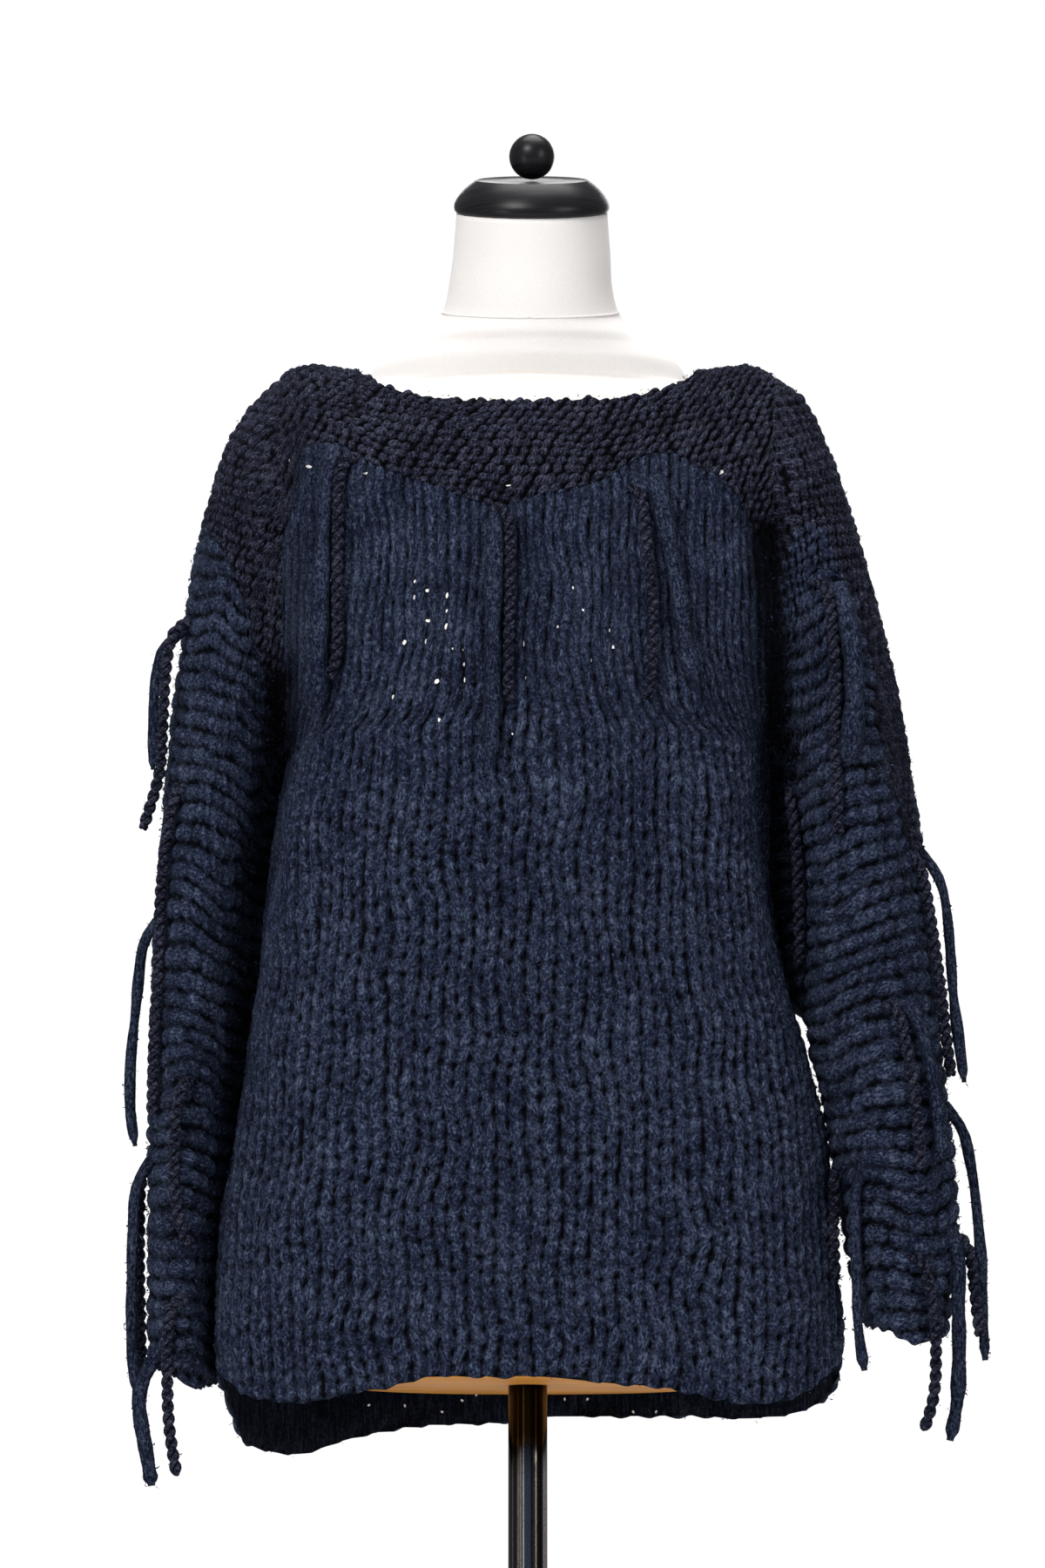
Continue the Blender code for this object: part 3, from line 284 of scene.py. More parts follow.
# Form sections: height, half width, front depth, back depth, roundness, centre x, centre y, tilt
FORM = np.array([
    (0.6523, 0.13, 0.092, 0.092, 2.2, 0.0, 0.0, 0),
    (0.664, 0.133, 0.094, 0.094, 2.2, 0.0, 0.0, 0),
    (0.74, 0.152, 0.098, 0.095, 2.2, 0.0, 0.0, 0),
    (0.82, 0.164, 0.099, 0.096, 2.2, 0.0, 0.0, 0),
    (0.9, 0.15, 0.094, 0.088, 2.1, 0.0, 0.0, 0),
    (0.985, 0.128, 0.09, 0.082, 2.1, 0.0, 0.0, 0),
    (1.06, 0.137, 0.098, 0.086, 2.1, 0.0, 0.0, 0),
    (1.14, 0.149, 0.11, 0.092, 2.1, 0.0, 0.0, 0),
    (1.2, 0.154, 0.11, 0.096, 2.1, 0.0, 0.0, 0),
    (1.25, 0.158, 0.102, 0.096, 2.1, 0.0, 0.0, 0),
    (1.285, 0.162, 0.09, 0.087, 2.0, 0.0, 0.0, 0),
    (1.31, 0.164, 0.075, 0.067, 1.8, 0.0, 0.0, 0),
    (1.326, 0.159, 0.065, 0.056, 1.6, 0.0, 0.0, 0),
    (1.3355, 0.145, 0.054, 0.047, 1.5, 0.0, 0.0, 0),
    (1.3393, 0.131, 0.048, 0.043, 1.55, 0.0, 0.0, 0),
    (1.3425, 0.117, 0.05, 0.045, 1.65, 0.0, 0.0, 0),
    (1.359, 0.104, 0.056, 0.05, 1.7, 0.0, -0.001, 4),
    (1.37, 0.088, 0.056, 0.052, 1.8, 0.001, -0.003, 8),
    (1.3815, 0.0735, 0.057, 0.053, 2.0, 0.001, -0.006, 13),
    (1.393, 0.062, 0.056, 0.054, 2.0, 0.002, -0.009, 17),
    (1.41, 0.0575, 0.055, 0.054, 2.0, 0.002, -0.014, 18.5),
    (1.435, 0.055, 0.053, 0.053, 2.0, 0.003, -0.0215, 18.5),
    (1.4594, 0.053, 0.0525, 0.0525, 2.0, 0.003, -0.0299, 18.5),
])

CAP_PROFILE = [(0.0525, 0.0), (0.054, 0.001), (0.0547, 0.0026), (0.0548, 0.005), (0.0543, 0.0072),
               (0.053, 0.0098), (0.0508, 0.013), (0.0478, 0.0163), (0.044, 0.0196), (0.0404, 0.0221),
               (0.0396, 0.0226), (0.0388, 0.0228), (0.038, 0.0224), (0.02, 0.0223), (0.006, 0.0224)]
BASE_PROFILE = [(0.164, 0.0), (0.1685, 0.0008), (0.17, 0.003), (0.17, 0.0085), (0.1685, 0.0108),
                (0.164, 0.012), (0.09, 0.0165), (0.03, 0.02), (0.0255, 0.0208), (0.024, 0.0225),
                (0.024, 0.0285), (0.0234, 0.029)]

# Tassels seen from the front: yarn, depth where no cloth lies behind it, path of (x, z)
TASSELS = {
    "tassel_front_1": [
        ("roving", -0.135, [(-0.137, 1.274), (-0.139, 1.241), (-0.141, 1.193), (-0.142, 1.145),
            (-0.143, 1.094)]),
        ("cord", -0.135, [(-0.127, 1.27), (-0.13, 1.259), (-0.13, 1.217), (-0.13, 1.169),
            (-0.129, 1.128), (-0.136, 1.116)]),
    ],
    "tassel_front_2": [
        ("roving", -0.135, [(-0.022, 1.224), (-0.023, 1.187), (-0.024, 1.145), (-0.024, 1.097),
            (-0.025, 1.056)]),
        ("cord", -0.135, [(-0.012, 1.228), (-0.012, 1.21), (-0.012, 1.166), (-0.013, 1.129),
            (-0.013, 1.094)]),
    ],
    "tassel_front_3": [
        ("cord", -0.135, [(0.078, 1.245), (0.08, 1.217), (0.083, 1.187), (0.086, 1.148),
            (0.084, 1.121), (0.082, 1.098)]),
        ("roving", -0.135, [(0.089, 1.248), (0.096, 1.211), (0.102, 1.178), (0.108, 1.134),
            (0.115, 1.109)]),
    ],
    "tassel_right_1": [
        ("cord", -0.08, [(0.206, 1.186), (0.209, 1.155), (0.211, 1.118), (0.211, 1.075), (0.212, 1.04),
            (0.213, 1.012)]),
        ("roving", -0.08, [(0.2175, 1.18), (0.2195, 1.16), (0.2235, 1.13), (0.2245, 1.106),
            (0.2225, 1.082), (0.2185, 1.06)]),
    ],
    "tassel_right_2": [
        ("cord", -0.08, [(0.186, 1.046), (0.186, 1.022), (0.187, 0.985), (0.188, 0.949), (0.19, 0.927)]),
    ],
    "tassel_right_3": [
        ("cord", -0.03, [(0.267, 0.999), (0.273, 0.971), (0.277, 0.94), (0.281, 0.908), (0.284, 0.875),
            (0.288, 0.85)]),
        ("roving", -0.03, [(0.277, 1.004), (0.287, 0.981), (0.291, 0.944), (0.293, 0.907),
            (0.297, 0.872), (0.3, 0.846)]),
    ],
    "tassel_right_4": [
        ("cord", -0.06, [(0.253, 0.893), (0.257, 0.868), (0.262, 0.841), (0.265, 0.814), (0.267, 0.781)]),
        ("roving", -0.06, [(0.264, 0.893), (0.271, 0.871), (0.276, 0.847), (0.279, 0.817),
            (0.281, 0.79)]),
    ],
    "tassel_right_5": [
        ("roving", -0.02, [(0.299, 0.826), (0.302, 0.804), (0.306, 0.782), (0.309, 0.752),
            (0.311, 0.724), (0.312, 0.682), (0.313, 0.656)]),
    ],
    "tassel_right_6": [
        ("roving", -0.03, [(0.291, 0.74), (0.293, 0.71), (0.294, 0.673), (0.293, 0.632),
            (0.287, 0.6)]),
        ("cord", -0.03, [(0.301, 0.74), (0.304, 0.723), (0.306, 0.698), (0.309, 0.672)]),
    ],
    "tassel_right_7": [
        ("cord", -0.06, [(0.268, 0.722), (0.274, 0.698), (0.277, 0.672), (0.277, 0.645), (0.274, 0.621),
            (0.268, 0.606)]),
    ],
    "tassel_right_8": [
        ("cord", -0.03, [(0.214, 0.781), (0.208, 0.751), (0.207, 0.728), (0.208, 0.71)]),
        ("roving", -0.03, [(0.224, 0.781), (0.224, 0.751), (0.224, 0.722), (0.224, 0.692),
            (0.226, 0.665), (0.229, 0.647)]),
    ],
    "tassel_left_1": [
        ("roving", -0.04, [(-0.25, 1.16), (-0.256, 1.139), (-0.259, 1.111), (-0.259, 1.084),
            (-0.259, 1.062)]),
        ("cord", -0.05, [(-0.245, 1.163), (-0.249, 1.142), (-0.251, 1.117), (-0.252, 1.093),
            (-0.253, 1.062), (-0.259, 1.038), (-0.265, 1.019)]),
    ],
    "tassel_left_2": [
        ("cord", -0.07, [(-0.241, 1.044), (-0.246, 1.02), (-0.249, 0.987), (-0.25, 0.951),
            (-0.251, 0.915), (-0.253, 0.873), (-0.254, 0.822)]),
    ],
    "tassel_left_3": [
        ("cord", -0.06, [(-0.236, 0.842), (-0.24, 0.814), (-0.241, 0.787), (-0.24, 0.761),
            (-0.236, 0.743), (-0.231, 0.731)]),
    ],
    "tassel_left_4": [
        ("roving", -0.02, [(-0.265, 0.957), (-0.268, 0.927), (-0.271, 0.892), (-0.274, 0.855),
            (-0.274, 0.831), (-0.27, 0.803)]),
    ],
    "tassel_left_5": [
        ("roving", -0.02, [(-0.268, 0.791), (-0.27, 0.77), (-0.271, 0.741), (-0.2715, 0.705),
            (-0.271, 0.665), (-0.268, 0.633)]),
        ("cord", -0.02, [(-0.262, 0.791), (-0.263, 0.77), (-0.264, 0.741), (-0.2645, 0.705),
            (-0.2645, 0.669), (-0.2625, 0.64)]),
    ],
    "tassel_left_6": [
        ("roving", -0.03, [(-0.262, 0.65), (-0.266, 0.632), (-0.264, 0.614), (-0.26, 0.594),
            (-0.256, 0.57)]),
    ],
    "tassel_left_7": [
        ("cord", -0.06, [(-0.243, 0.694), (-0.245, 0.666), (-0.245, 0.639), (-0.244, 0.613),
            (-0.241, 0.592), (-0.238, 0.576)]),
    ],
}
TASSEL_THICK = {"tassel_left_1": 0.6, "tassel_left_4": 0.6, "tassel_left_5": 0.62, "tassel_left_6": 0.8,
                "tassel_right_1": 1.2, "tassel_right_3": 0.62, "tassel_right_4": 0.8, "tassel_right_5": 0.62,
                "tassel_right_6": 0.8, "tassel_right_8": 0.65}
TASSEL_LEAN = {"tassel_front_1": 1.4, "tassel_front_2": -1.6, "tassel_front_3": -1.2}

# Small gaps between stitches where the pale form shows: x, z, half width, half height
LIGHT_GAPS = [
    (-0.163, 1.273, 0.0011, 0.0017), (-0.149, 1.279, 0.0015, 0.0007), (-0.151, 1.267, 0.0018, 0.0012),
    (-0.109, 1.258, 0.0018, 0.0009), (-0.009, 1.249, 0.0025, 0.0008), (0.132, 1.26, 0.003, 0.0028),
    (-0.067, 1.174, 0.0014, 0.0014), (-0.067, 1.152, 0.0022, 0.0012), (-0.055, 1.147, 0.0011, 0.0022),
    (-0.085, 1.137, 0.0014, 0.0016), (-0.078, 1.168, 0.0008, 0.0015), (-0.056, 1.169, 0.0008, 0.0022),
    (-0.045, 1.125, 0.0016, 0.0015), (-0.045, 1.137, 0.0007, 0.0013), (-0.062, 1.11, 0.0015, 0.0019),
    (-0.043, 1.111, 0.0006, 0.0016), (-0.091, 1.1, 0.001, 0.0014), (-0.06, 1.083, 0.001, 0.002),
    (-0.001, 1.137, 0.0013, 0.0025), (0.001, 1.11, 0.0017, 0.003), (0.02, 1.109, 0.0011, 0.0033),
    (0.059, 1.106, 0.0015, 0.0022), (0.059, 1.136, 0.0014, 0.0015), (0.059, 1.148, 0.001, 0.0011),
    (0.048, 1.13, 0.0008, 0.0016), (0.029, 1.174, 0.0007, 0.0011), (0.039, 1.158, 0.0007, 0.0009),
    (0.019, 1.147, 0.0006, 0.0008), (-0.077, 1.179, 0.0008, 0.0011), (-0.008, 1.075, 0.0007, 0.0008),
    (-0.055, 1.158, 0.0006, 0.0013), (-0.068, 1.137, 0.0006, 0.0018), (-0.055, 1.133, 0.001, 0.0006),
]

# The same in the back hem, seen from inside: x, z
HEM_GAPS = [(-0.111, 0.632), (-0.086, 0.632), (-0.06, 0.628), (-0.046, 0.636), (-0.036, 0.64),
            (0.026, 0.637), (0.042, 0.637), (0.074, 0.628), (0.09, 0.628)]
HEM_GAP_HALF = 0.0009
GAP_FLAKE = 0.0008
HEM_GAP_PROUD = 0.002

# The board's painted shadow on the chrome pole, with painted light below it: heights of its ends, and
# brightness at each
POLE_SHADOW = ((0.575, 2.8), (0.605, 0.45))

# Painted reflections on the chrome pole, as upright streaks: share of its width from the left, red, green,
# blue
POLE_PAINTED_REFLECTIONS = [
    (0.0, 0.03, 0.028, 0.028), (0.09, 0.03, 0.028, 0.028), (0.11, 0.2, 0.17, 0.155),
    (0.14, 0.035, 0.032, 0.03), (0.22, 0.035, 0.032, 0.03), (0.25, 0.26, 0.22, 0.195),
    (0.28, 0.04, 0.036, 0.034), (0.37, 0.04, 0.036, 0.034), (0.39, 0.9, 0.85, 0.8),
    (0.41, 0.06, 0.08, 0.12), (0.55, 0.06, 0.08, 0.12), (0.59, 0.02, 0.02, 0.024),
    (0.69, 0.024, 0.022, 0.022), (0.71, 0.3, 0.25, 0.21), (0.73, 0.012, 0.012, 0.012),
    (0.87, 0.012, 0.012, 0.012), (0.9, 0.42, 0.35, 0.38), (0.97, 0.34, 0.29, 0.31),
    (1.0, 0.04, 0.036, 0.036),
]


# Surfaces

def smooth_curve(table_x, table_y):
    """A smooth curve through a table, flat beyond its ends and free of overshoot."""
    xs = np.asarray(table_x, float)
    ys = np.asarray(table_y, float)
    step = np.diff(xs)
    slope = np.diff(ys) / step
    rate = np.zeros(len(xs))
    rate[0] = slope[0]
    rate[-1] = slope[-1]
    same = slope[1:] * slope[:-1] > 0
    mean = 2 * slope[1:] * slope[:-1] / np.where(same, slope[1:] + slope[:-1], 1.0)
    rate[1:-1] = np.where(same, mean, 0.0)

    def curve(x):
        x = np.clip(x, xs[0], xs[-1])
        k = np.clip(np.searchsorted(xs, x) - 1, 0, len(xs) - 2)
        t = (x - xs[k]) / step[k]
        return (ys[k] * (1 + 2 * t) * (1 - t) ** 2 + ys[k + 1] * t * t * (3 - 2 * t)
                + step[k] * (rate[k] * t * (1 - t) ** 2 - rate[k + 1] * t * t * (1 - t)))

    return curve


def signed_power(value, power):
    return np.sign(value) * np.abs(value) ** power


def unit(vectors):
    return vectors / np.maximum(np.linalg.norm(vectors, axis=-1, keepdims=True), 1e-9)


def distances(points):
    """How far along a polyline each of its points lies."""
    return np.concatenate([[0], np.cumsum(np.linalg.norm(np.diff(points, axis=0), axis=1))])


def even_along(points, count):
    """Points evenly spaced along a polyline."""
    length = distances(points)
    wanted = np.linspace(0, length[-1], count)
    return np.stack([np.interp(wanted, length, points[:, k]) for k in range(points.shape[1])], 1)


left_width = smooth_curve(BODY[:, 0], BODY[:, 1])
right_width = smooth_curve(BODY[:, 0], BODY[:, 2])
front_depth = smooth_curve(BODY[:, 0], BODY[:, 3])
back_depth = smooth_curve(BODY[:, 0], BODY[:, 4])
ridge_height = smooth_curve(RIDGE[:, 0], RIDGE[:, 1])
FINE_LEVELS = np.concatenate([np.linspace(0, 1, 90), np.linspace(1, 2, 41)[1:]])
FINE_ACROSS = np.linspace(-1, 1, 161)


def armhole_edge(height):
    share = (height - UNDERARM) / (SHOULDER_END - UNDERARM)
    return ARMHOLE_HALF + ARMHOLE_FLARE * np.clip(share, 0, 1)


def body_grid(front):
    """The smooth outer skin of one body side on a fine grid of levels and places across."""
    depth_curve = front_depth if front else back_depth
    facing = -1 if front else 1
    grid = np.zeros((len(FINE_LEVELS), len(FINE_ACROSS), 3))
    for row, level in enumerate(FINE_LEVELS):
        roll = max(0.0, level - 1) * pi / 2
        height = LOWEST + (SPRING - LOWEST) * min(level, 1.0)
        arm_height = SPRING + (SHOULDER_END - SPRING) * sin(roll) if level > 1 else height
        depth = float(depth_curve(height)) * cos(roll)
        rise = (min(arm_height, ARMHOLE_WIDEST) - ARMHOLE_WIDEST) / (ARMHOLE_WIDEST - UNDERARM)
        opening = ARMHOLE_DEPTH * np.sqrt(max(0.0, 1 - rise * rise)) if arm_height > UNDERARM else 0.0
        halves = []
        for width_curve in (left_width, right_width):
            edge = armhole_edge(arm_height) if arm_height > UNDERARM else float(width_curve(height))
            full = edge / (1 - opening ** BODY_POWER) ** (1 / BODY_POWER)
            last = np.arcsin(min(1.0, (edge / full) ** (BODY_POWER / 2)))
            turn = np.linspace(0, last, 200)
            x = full * np.sin(turn) ** (2 / BODY_POWER)
            y = depth * np.clip(np.cos(turn), 0, 1) ** (2 / BODY_POWER)
            halves.append(even_along(np.stack([x, y], 1), 81))
        across = np.concatenate([halves[0][::-1] * (-1, 1), halves[1][1:]])
        grid[row, :, 0] = across[:, 0]
        grid[row, :, 1] = facing * across[:, 1]
        lift = ridge_height(np.abs(across[:, 0])) - SPRING
        grid[row, :, 2] = height + (lift * sin(roll) if level > 1 else 0)
    return grid


def sample_grid(grid, row_axis, column_axis, row_value, column_value):
    """Read a fine grid between its points."""
    r = np.interp(row_value, row_axis, np.arange(len(row_axis)))
    c = np.interp(column_value, column_axis, np.arange(len(column_axis)))
    r0 = np.clip(r.astype(int), 0, len(row_axis) - 2)
    c0 = np.clip(c.astype(int), 0, len(column_axis) - 2)
    fr = (r - r0)[..., None]
    fc = (c - c0)[..., None]
    return ((grid[r0, c0] * (1 - fc) + grid[r0, c0 + 1] * fc) * (1 - fr)
            + (grid[r0 + 1, c0] * (1 - fc) + grid[r0 + 1, c0 + 1] * fc) * fr)


def body_surface(front):
    """Functions for the folded outer skin of one body side and its outward direction."""
    grid = body_grid(front)
    folds = FRONT_FOLDS if front else BACK_FOLDS

    def smooth(across, level):
        return sample_grid(grid, FINE_LEVELS, FINE_ACROSS, level, across)

    def outward(across, level):
        right = smooth(np.minimum(across + SKIN_STEP, 1), level)
        left = smooth(np.maximum(across - SKIN_STEP, -1), level)
        above = smooth(across, np.minimum(level + SKIN_STEP, 2))
        below = smooth(across, np.maximum(level - SKIN_STEP, 0))
        normal = unit(np.cross(right - left, above - below))
        return normal if front else -normal

    def skin(across, level):
        point = smooth(across, level)
        rise = np.zeros(across.shape)
        for centre, height, half_width, half_length, lean, peak in folds:
            along = (point[..., 2] - height) / half_length
            beside = (across - centre - lean * (point[..., 2] - height) / 0.3) / half_width
            rise = rise + peak * np.exp(-beside ** 2 - along ** 2)
        rise = rise * np.clip((1 - np.abs(across)) / 0.06, 0, 1)
        return point + outward(across, level) * rise[..., None]

    return skin, outward, smooth


def level_of(height, across_x):
    """The level whose height is wanted at a place across the body."""
    height = np.asarray(height, float)
    low = (height - LOWEST) / (SPRING - LOWEST)
    share = np.clip((height - SPRING) / (ridge_height(np.abs(across_x)) - SPRING), 0, 1)
    return np.where(height <= SPRING, low, 1 + np.arcsin(share) * 2 / pi)


def sleeve_surface(table, side, front_smooth, back_smooth):
    """Functions for the outer skin of a sleeve: ring 0 is the armhole, ring 12 the cuff."""
    places = RING_PLACES
    rings = np.zeros((len(table), places + 1, 3))
    edges = []
    for smooth in (front_smooth, back_smooth):
        under = (UNDERARM - LOWEST) / (SPRING - LOWEST)
        levels = np.linspace(2, under, 200)
        edges.append(smooth(np.full(200, float(side)), levels))
    front_edge = even_along(edges[0], places // 2 + 1)
    back_edge = even_along(edges[1], places // 2 + 1)
    rings[0] = np.concatenate([front_edge, back_edge[::-1][1:]])
    rings[0, :, 0] -= side * SEAM_OVERLAP
    turn = np.linspace(0, 2 * pi, 361)
    for row in range(1, len(table)):
        outer_x, outer_z, inner_x, inner_z, half_depth, centre_y = table[row]
        middle = np.array([(outer_x + inner_x) / 2, centre_y, (outer_z + inner_z) / 2])
        reach = np.array([(outer_x - inner_x) / 2, 0, (outer_z - inner_z) / 2])
        loop = (middle + np.cos(turn)[:, None] * reach
                - np.sin(turn)[:, None] * np.array([0, half_depth, 0]))
        half = len(turn) // 2
        front_half = even_along(loop[:half + 1], places // 2 + 1)
        back_half = even_along(loop[half:], places // 2 + 1)
        rings[row] = np.concatenate([front_half, back_half[1:]])
    fine_rings = np.linspace(0, CUFF_RING, 121)
    fine = np.zeros((len(fine_rings), places + 1, 3))
    for place in range(places + 1):
        for axis in range(3):
            fine[:, place, axis] = smooth_curve(np.arange(len(table)), rings[:, place, axis])(fine_rings)
    centres = fine.mean(axis=1)
    turns = np.linspace(0, 1, places + 1)

    def skin(ring, turn_share):
        return sample_grid(fine, fine_rings, turns, ring, np.mod(turn_share, 1.0))

    def outward(ring, turn_share):
        ring = np.asarray(ring, float)
        ahead = skin(np.minimum(ring + RING_STEP, CUFF_RING), turn_share)
        behind = skin(np.maximum(ring - RING_STEP, 0), turn_share)
        beside = skin(ring, turn_share + SKIN_STEP) - skin(ring, turn_share - SKIN_STEP)
        normal = np.cross(ahead - behind, beside)
        normal[..., 0] = np.where(ring < 0.02, 0, normal[..., 0])
        normal = unit(normal)
        centre = np.stack([np.interp(ring, fine_rings, centres[:, k]) for k in range(3)], -1)
        away = np.sum(normal * (skin(ring, turn_share) - centre), axis=-1, keepdims=True)
        return np.where(away < 0, -normal, normal)

    return skin, outward


def crease(point):
    """Push cloth in along the deep creases. Returns how much of a crease each point lies in, which is painted
    as shade in the knit's colour.
    """
    inside = np.zeros(point.shape[:-1])
    for facing, x0, z0, x1, z1, half_width, depth in CREASES:
        along = np.clip(((point[..., 0] - x0) * (x1 - x0) + (point[..., 2] - z0) * (z1 - z0))
                        / ((x1 - x0) ** 2 + (z1 - z0) ** 2), 0, 1)
        apart = np.hypot(point[..., 0] - x0 - along * (x1 - x0), point[..., 2] - z0 - along * (z1 - z0))
        share = np.exp(-(apart / half_width) ** 2) * np.clip(facing * point[..., 1] / 0.03, 0, 1)
        point[..., 1] -= facing * share * depth
        inside = np.maximum(inside, share)
    return inside


def close_gap(point, normal, side):
    """Draw the back of a sleeve in towards the body, so that no light shows between them.

    Returns how much painted shade each point gets for it, which darkens the cloth drawn in.
    """
    height = point[..., 2]
    width = (left_width if side < 0 else right_width)(height)
    share = np.clip(point[..., 1] / back_depth(height), 0, 0.98)
    reach = width * (1 - share ** BODY_POWER) ** (1 / BODY_POWER)
    ends = np.clip((height - GAP_LOWEST[side]) / 0.03, 0, 1) * np.clip((GAP_TOP - height) / 0.02, 0, 1)
    weight = np.clip(point[..., 1] / 0.018, 0, 1) * np.clip(-normal[..., 0] * side * 1.8, 0, 1) * ends
    clearance = np.interp(height, *GAP_CLEARANCE)
    move = np.clip(np.abs(point[..., 0]) - reach - clearance, 0, GAP_REACH) * weight
    point[..., 0] -= side * move
    return GAP_PAINTED_SHADE * np.clip(move / 0.008, 0, 1)


def droop(point, side):
    """Let the front of a cuff hang lower."""
    cuff, centre, half_width, depth = CUFF_DROOP[side]
    above = np.clip(1 - (point[..., 2] - cuff) / DROOP_REACH, 0, 1)
    in_front = np.clip(0.5 - point[..., 1] / DROOP_TURN, 0, 1)
    point[..., 2] -= depth * above ** 1.5 * in_front * np.exp(-((point[..., 0] - centre) / half_width) ** 2)


# Stitches

def wander(a, b, scale, seed):
    """Slow smooth noise over two coordinates, from about -1 to 1."""
    source = np.random.default_rng(seed)
    total = np.zeros(np.broadcast(a, b).shape)
    for _ in range(7):
        angle, phase = source.uniform(0, 2 * pi, 2)
        size = source.uniform(0.6, 1.8) / scale
        total = total + np.sin((a * cos(angle) + b * sin(angle)) * size * 2 * pi + phase)
    return total / 3.2


def picks(i, j, seed):
    """One steady random number for each stitch, from -1 to 1."""
    table = np.random.default_rng(seed).uniform(-1, 1, (61, 67))
    return table[np.mod(i, 61), np.mod(j, 67)]


def stocking_relief(a, b, wale, calm):
    """Plain knit, two leaning legs to a stitch: height 0 to 1, and the place on the leg's own yarn.

    calm 1 draws the legs into long smooth ribs.
    """
    i0 = np.floor(a).astype(int)
    j0 = np.floor(b).astype(int)
    best = np.zeros(a.shape)
    yarn = np.zeros(a.shape + (3,))
    for di in (-1, 0, 1):
        for dj in (-2, -1, 0, 1, 2):
            i = i0 + di
            j = j0 + dj
            size = 1 + 0.12 * picks(i, j, 3)
            for leg in (-1, 1):
                angle = np.radians(LEG_LEAN - 6 * calm + 6 * picks(i, j, 5 + leg))
                length = (LEG_HALF_LENGTH + 0.0046 * calm) * size
                width = LEG_HALF_WIDTH * (1 + 0.10 * picks(i, j, 8 + leg))
                da = (a - i - 0.5 - leg * 0.250 - 0.030 * picks(i, j, 12)) * wale
                db = (b - j - 0.5 - 0.08 * picks(i, j, 14)) * ROW
                along = da * leg * np.sin(angle) + db * np.cos(angle)
                beside = da * np.cos(angle) - leg * db * np.sin(angle)
                inside = 1 - (along / length) ** 2 - (beside / width) ** 2
                rise = np.sqrt(np.maximum(inside, 0)) * (0.94 + 0.14 * picks(i, j, 16 + leg))
                rise = rise - (along / length) * 0.16
                taken = (inside > 0) & (rise > best)
                best = np.where(taken, rise, best)
                tag = 0.37 * i + 0.61 * j + 0.13 * leg
                yarn[taken] = np.stack([beside, along, tag + 0 * beside], -1)[taken]
    return best, yarn


def bump_relief(a, b, stitch, row, slant, seed, lengthen=1.0, widen=1.0, jitter=18):
    """Bumpy knit, rows of short slanting beads, each row shifted by half a stitch."""
    i0 = np.floor(a).astype(int)
    j0 = np.floor(b).astype(int)
    best = np.zeros(a.shape)
    yarn = np.zeros(a.shape + (3,))
    for dj in (-1, 0, 1):
        j = j0 + dj
        shift = 0.5 * np.mod(j, 2)
        for di in (-1, 0, 1, 2):
            i = i0 + di
            centre = i + shift + 0.17 * picks(i, j, seed)
            angle = np.radians(slant + jitter * picks(i, j, seed + 1))
            length = BEAD_LENGTH * stitch * lengthen * (1 + 0.16 * picks(i, j, seed + 2))
            width = BEAD_WIDTH * row * widen * (1 + 0.12 * picks(i, j, seed + 3))
            da = (a - centre) * stitch
            db = (b - j - 0.5 - 0.07 * picks(i, j, seed + 4)) * row
            along = da * np.cos(angle) + db * np.sin(angle)
            beside = -da * np.sin(angle) + db * np.cos(angle)
            inside = 1 - (along / length) ** 2 - (beside / width) ** 2
            rise = np.sqrt(np.maximum(inside, 0)) * (0.90 + 0.20 * picks(i, j, seed + 5))
            taken = rise > best
            best = np.where(taken, rise, best)
            tag = 0.37 * i + 0.61 * j
            yarn[taken] = np.stack([beside, along, tag + 0 * beside], -1)[taken]
    return best, yarn


# Meshes

def zip_rims(first, second):
    """Triangles between two rows of points that run the same way."""
    faces = []
    i = 0
    j = 0
    while i < len(first) - 1 or j < len(second) - 1:
        next_i = (i + 1) / (len(first) - 1)
        next_j = (j + 1) / (len(second) - 1)
        if j == len(second) - 1 or (i < len(first) - 1 and next_i <= next_j):
            faces.append((first[i], first[i + 1], second[j]))
            i += 1
        else:
            faces.append((first[i], second[j + 1], second[j]))
            j += 1
    return faces


def quads(ids, closed):
    """Two triangles for each cell of a grid of point numbers."""
    if closed:
        ids = np.concatenate([ids, ids[:, :1]], axis=1)
    a = ids[:-1, :-1].ravel()
    b = ids[:-1, 1:].ravel()
    c = ids[1:, 1:].ravel()
    d = ids[1:, :-1].ravel()
    return np.concatenate([np.stack([a, b, c], 1), np.stack([a, c, d], 1)])


def mesh_object(name, points, triangles, materials, indices=None, smooth=True):
    """A mesh from arrays, its faces turned outward."""
    points = np.asarray(points, float)
    triangles = np.asarray(triangles, np.int64)
    p = points[triangles]
    volume = np.einsum("ij,ij->i", p[:, 0], np.cross(p[:, 1], p[:, 2])).sum()
    if volume < 0:
        triangles = triangles[:, ::-1]
    mesh = bpy.data.meshes.new(name)
    mesh.vertices.add(len(points))
    mesh.vertices.foreach_set("co", points.astype(np.float32).ravel())
    mesh.loops.add(triangles.size)
    mesh.loops.foreach_set("vertex_index", triangles.astype(np.int32).ravel())
    mesh.polygons.add(len(triangles))
    mesh.polygons.foreach_set("loop_start", np.arange(0, triangles.size, 3, dtype=np.int32))
    mesh.polygons.foreach_set("use_smooth", np.full(len(triangles), smooth))
    if indices is not None:
        mesh.polygons.foreach_set("material_index", np.asarray(indices, np.int32))
    mesh.update(calc_edges=True)
    for material in materials:
        mesh.materials.append(material)
    item = bpy.data.objects.new(name, mesh)
    bpy.context.scene.collection.objects.link(item)
    return item


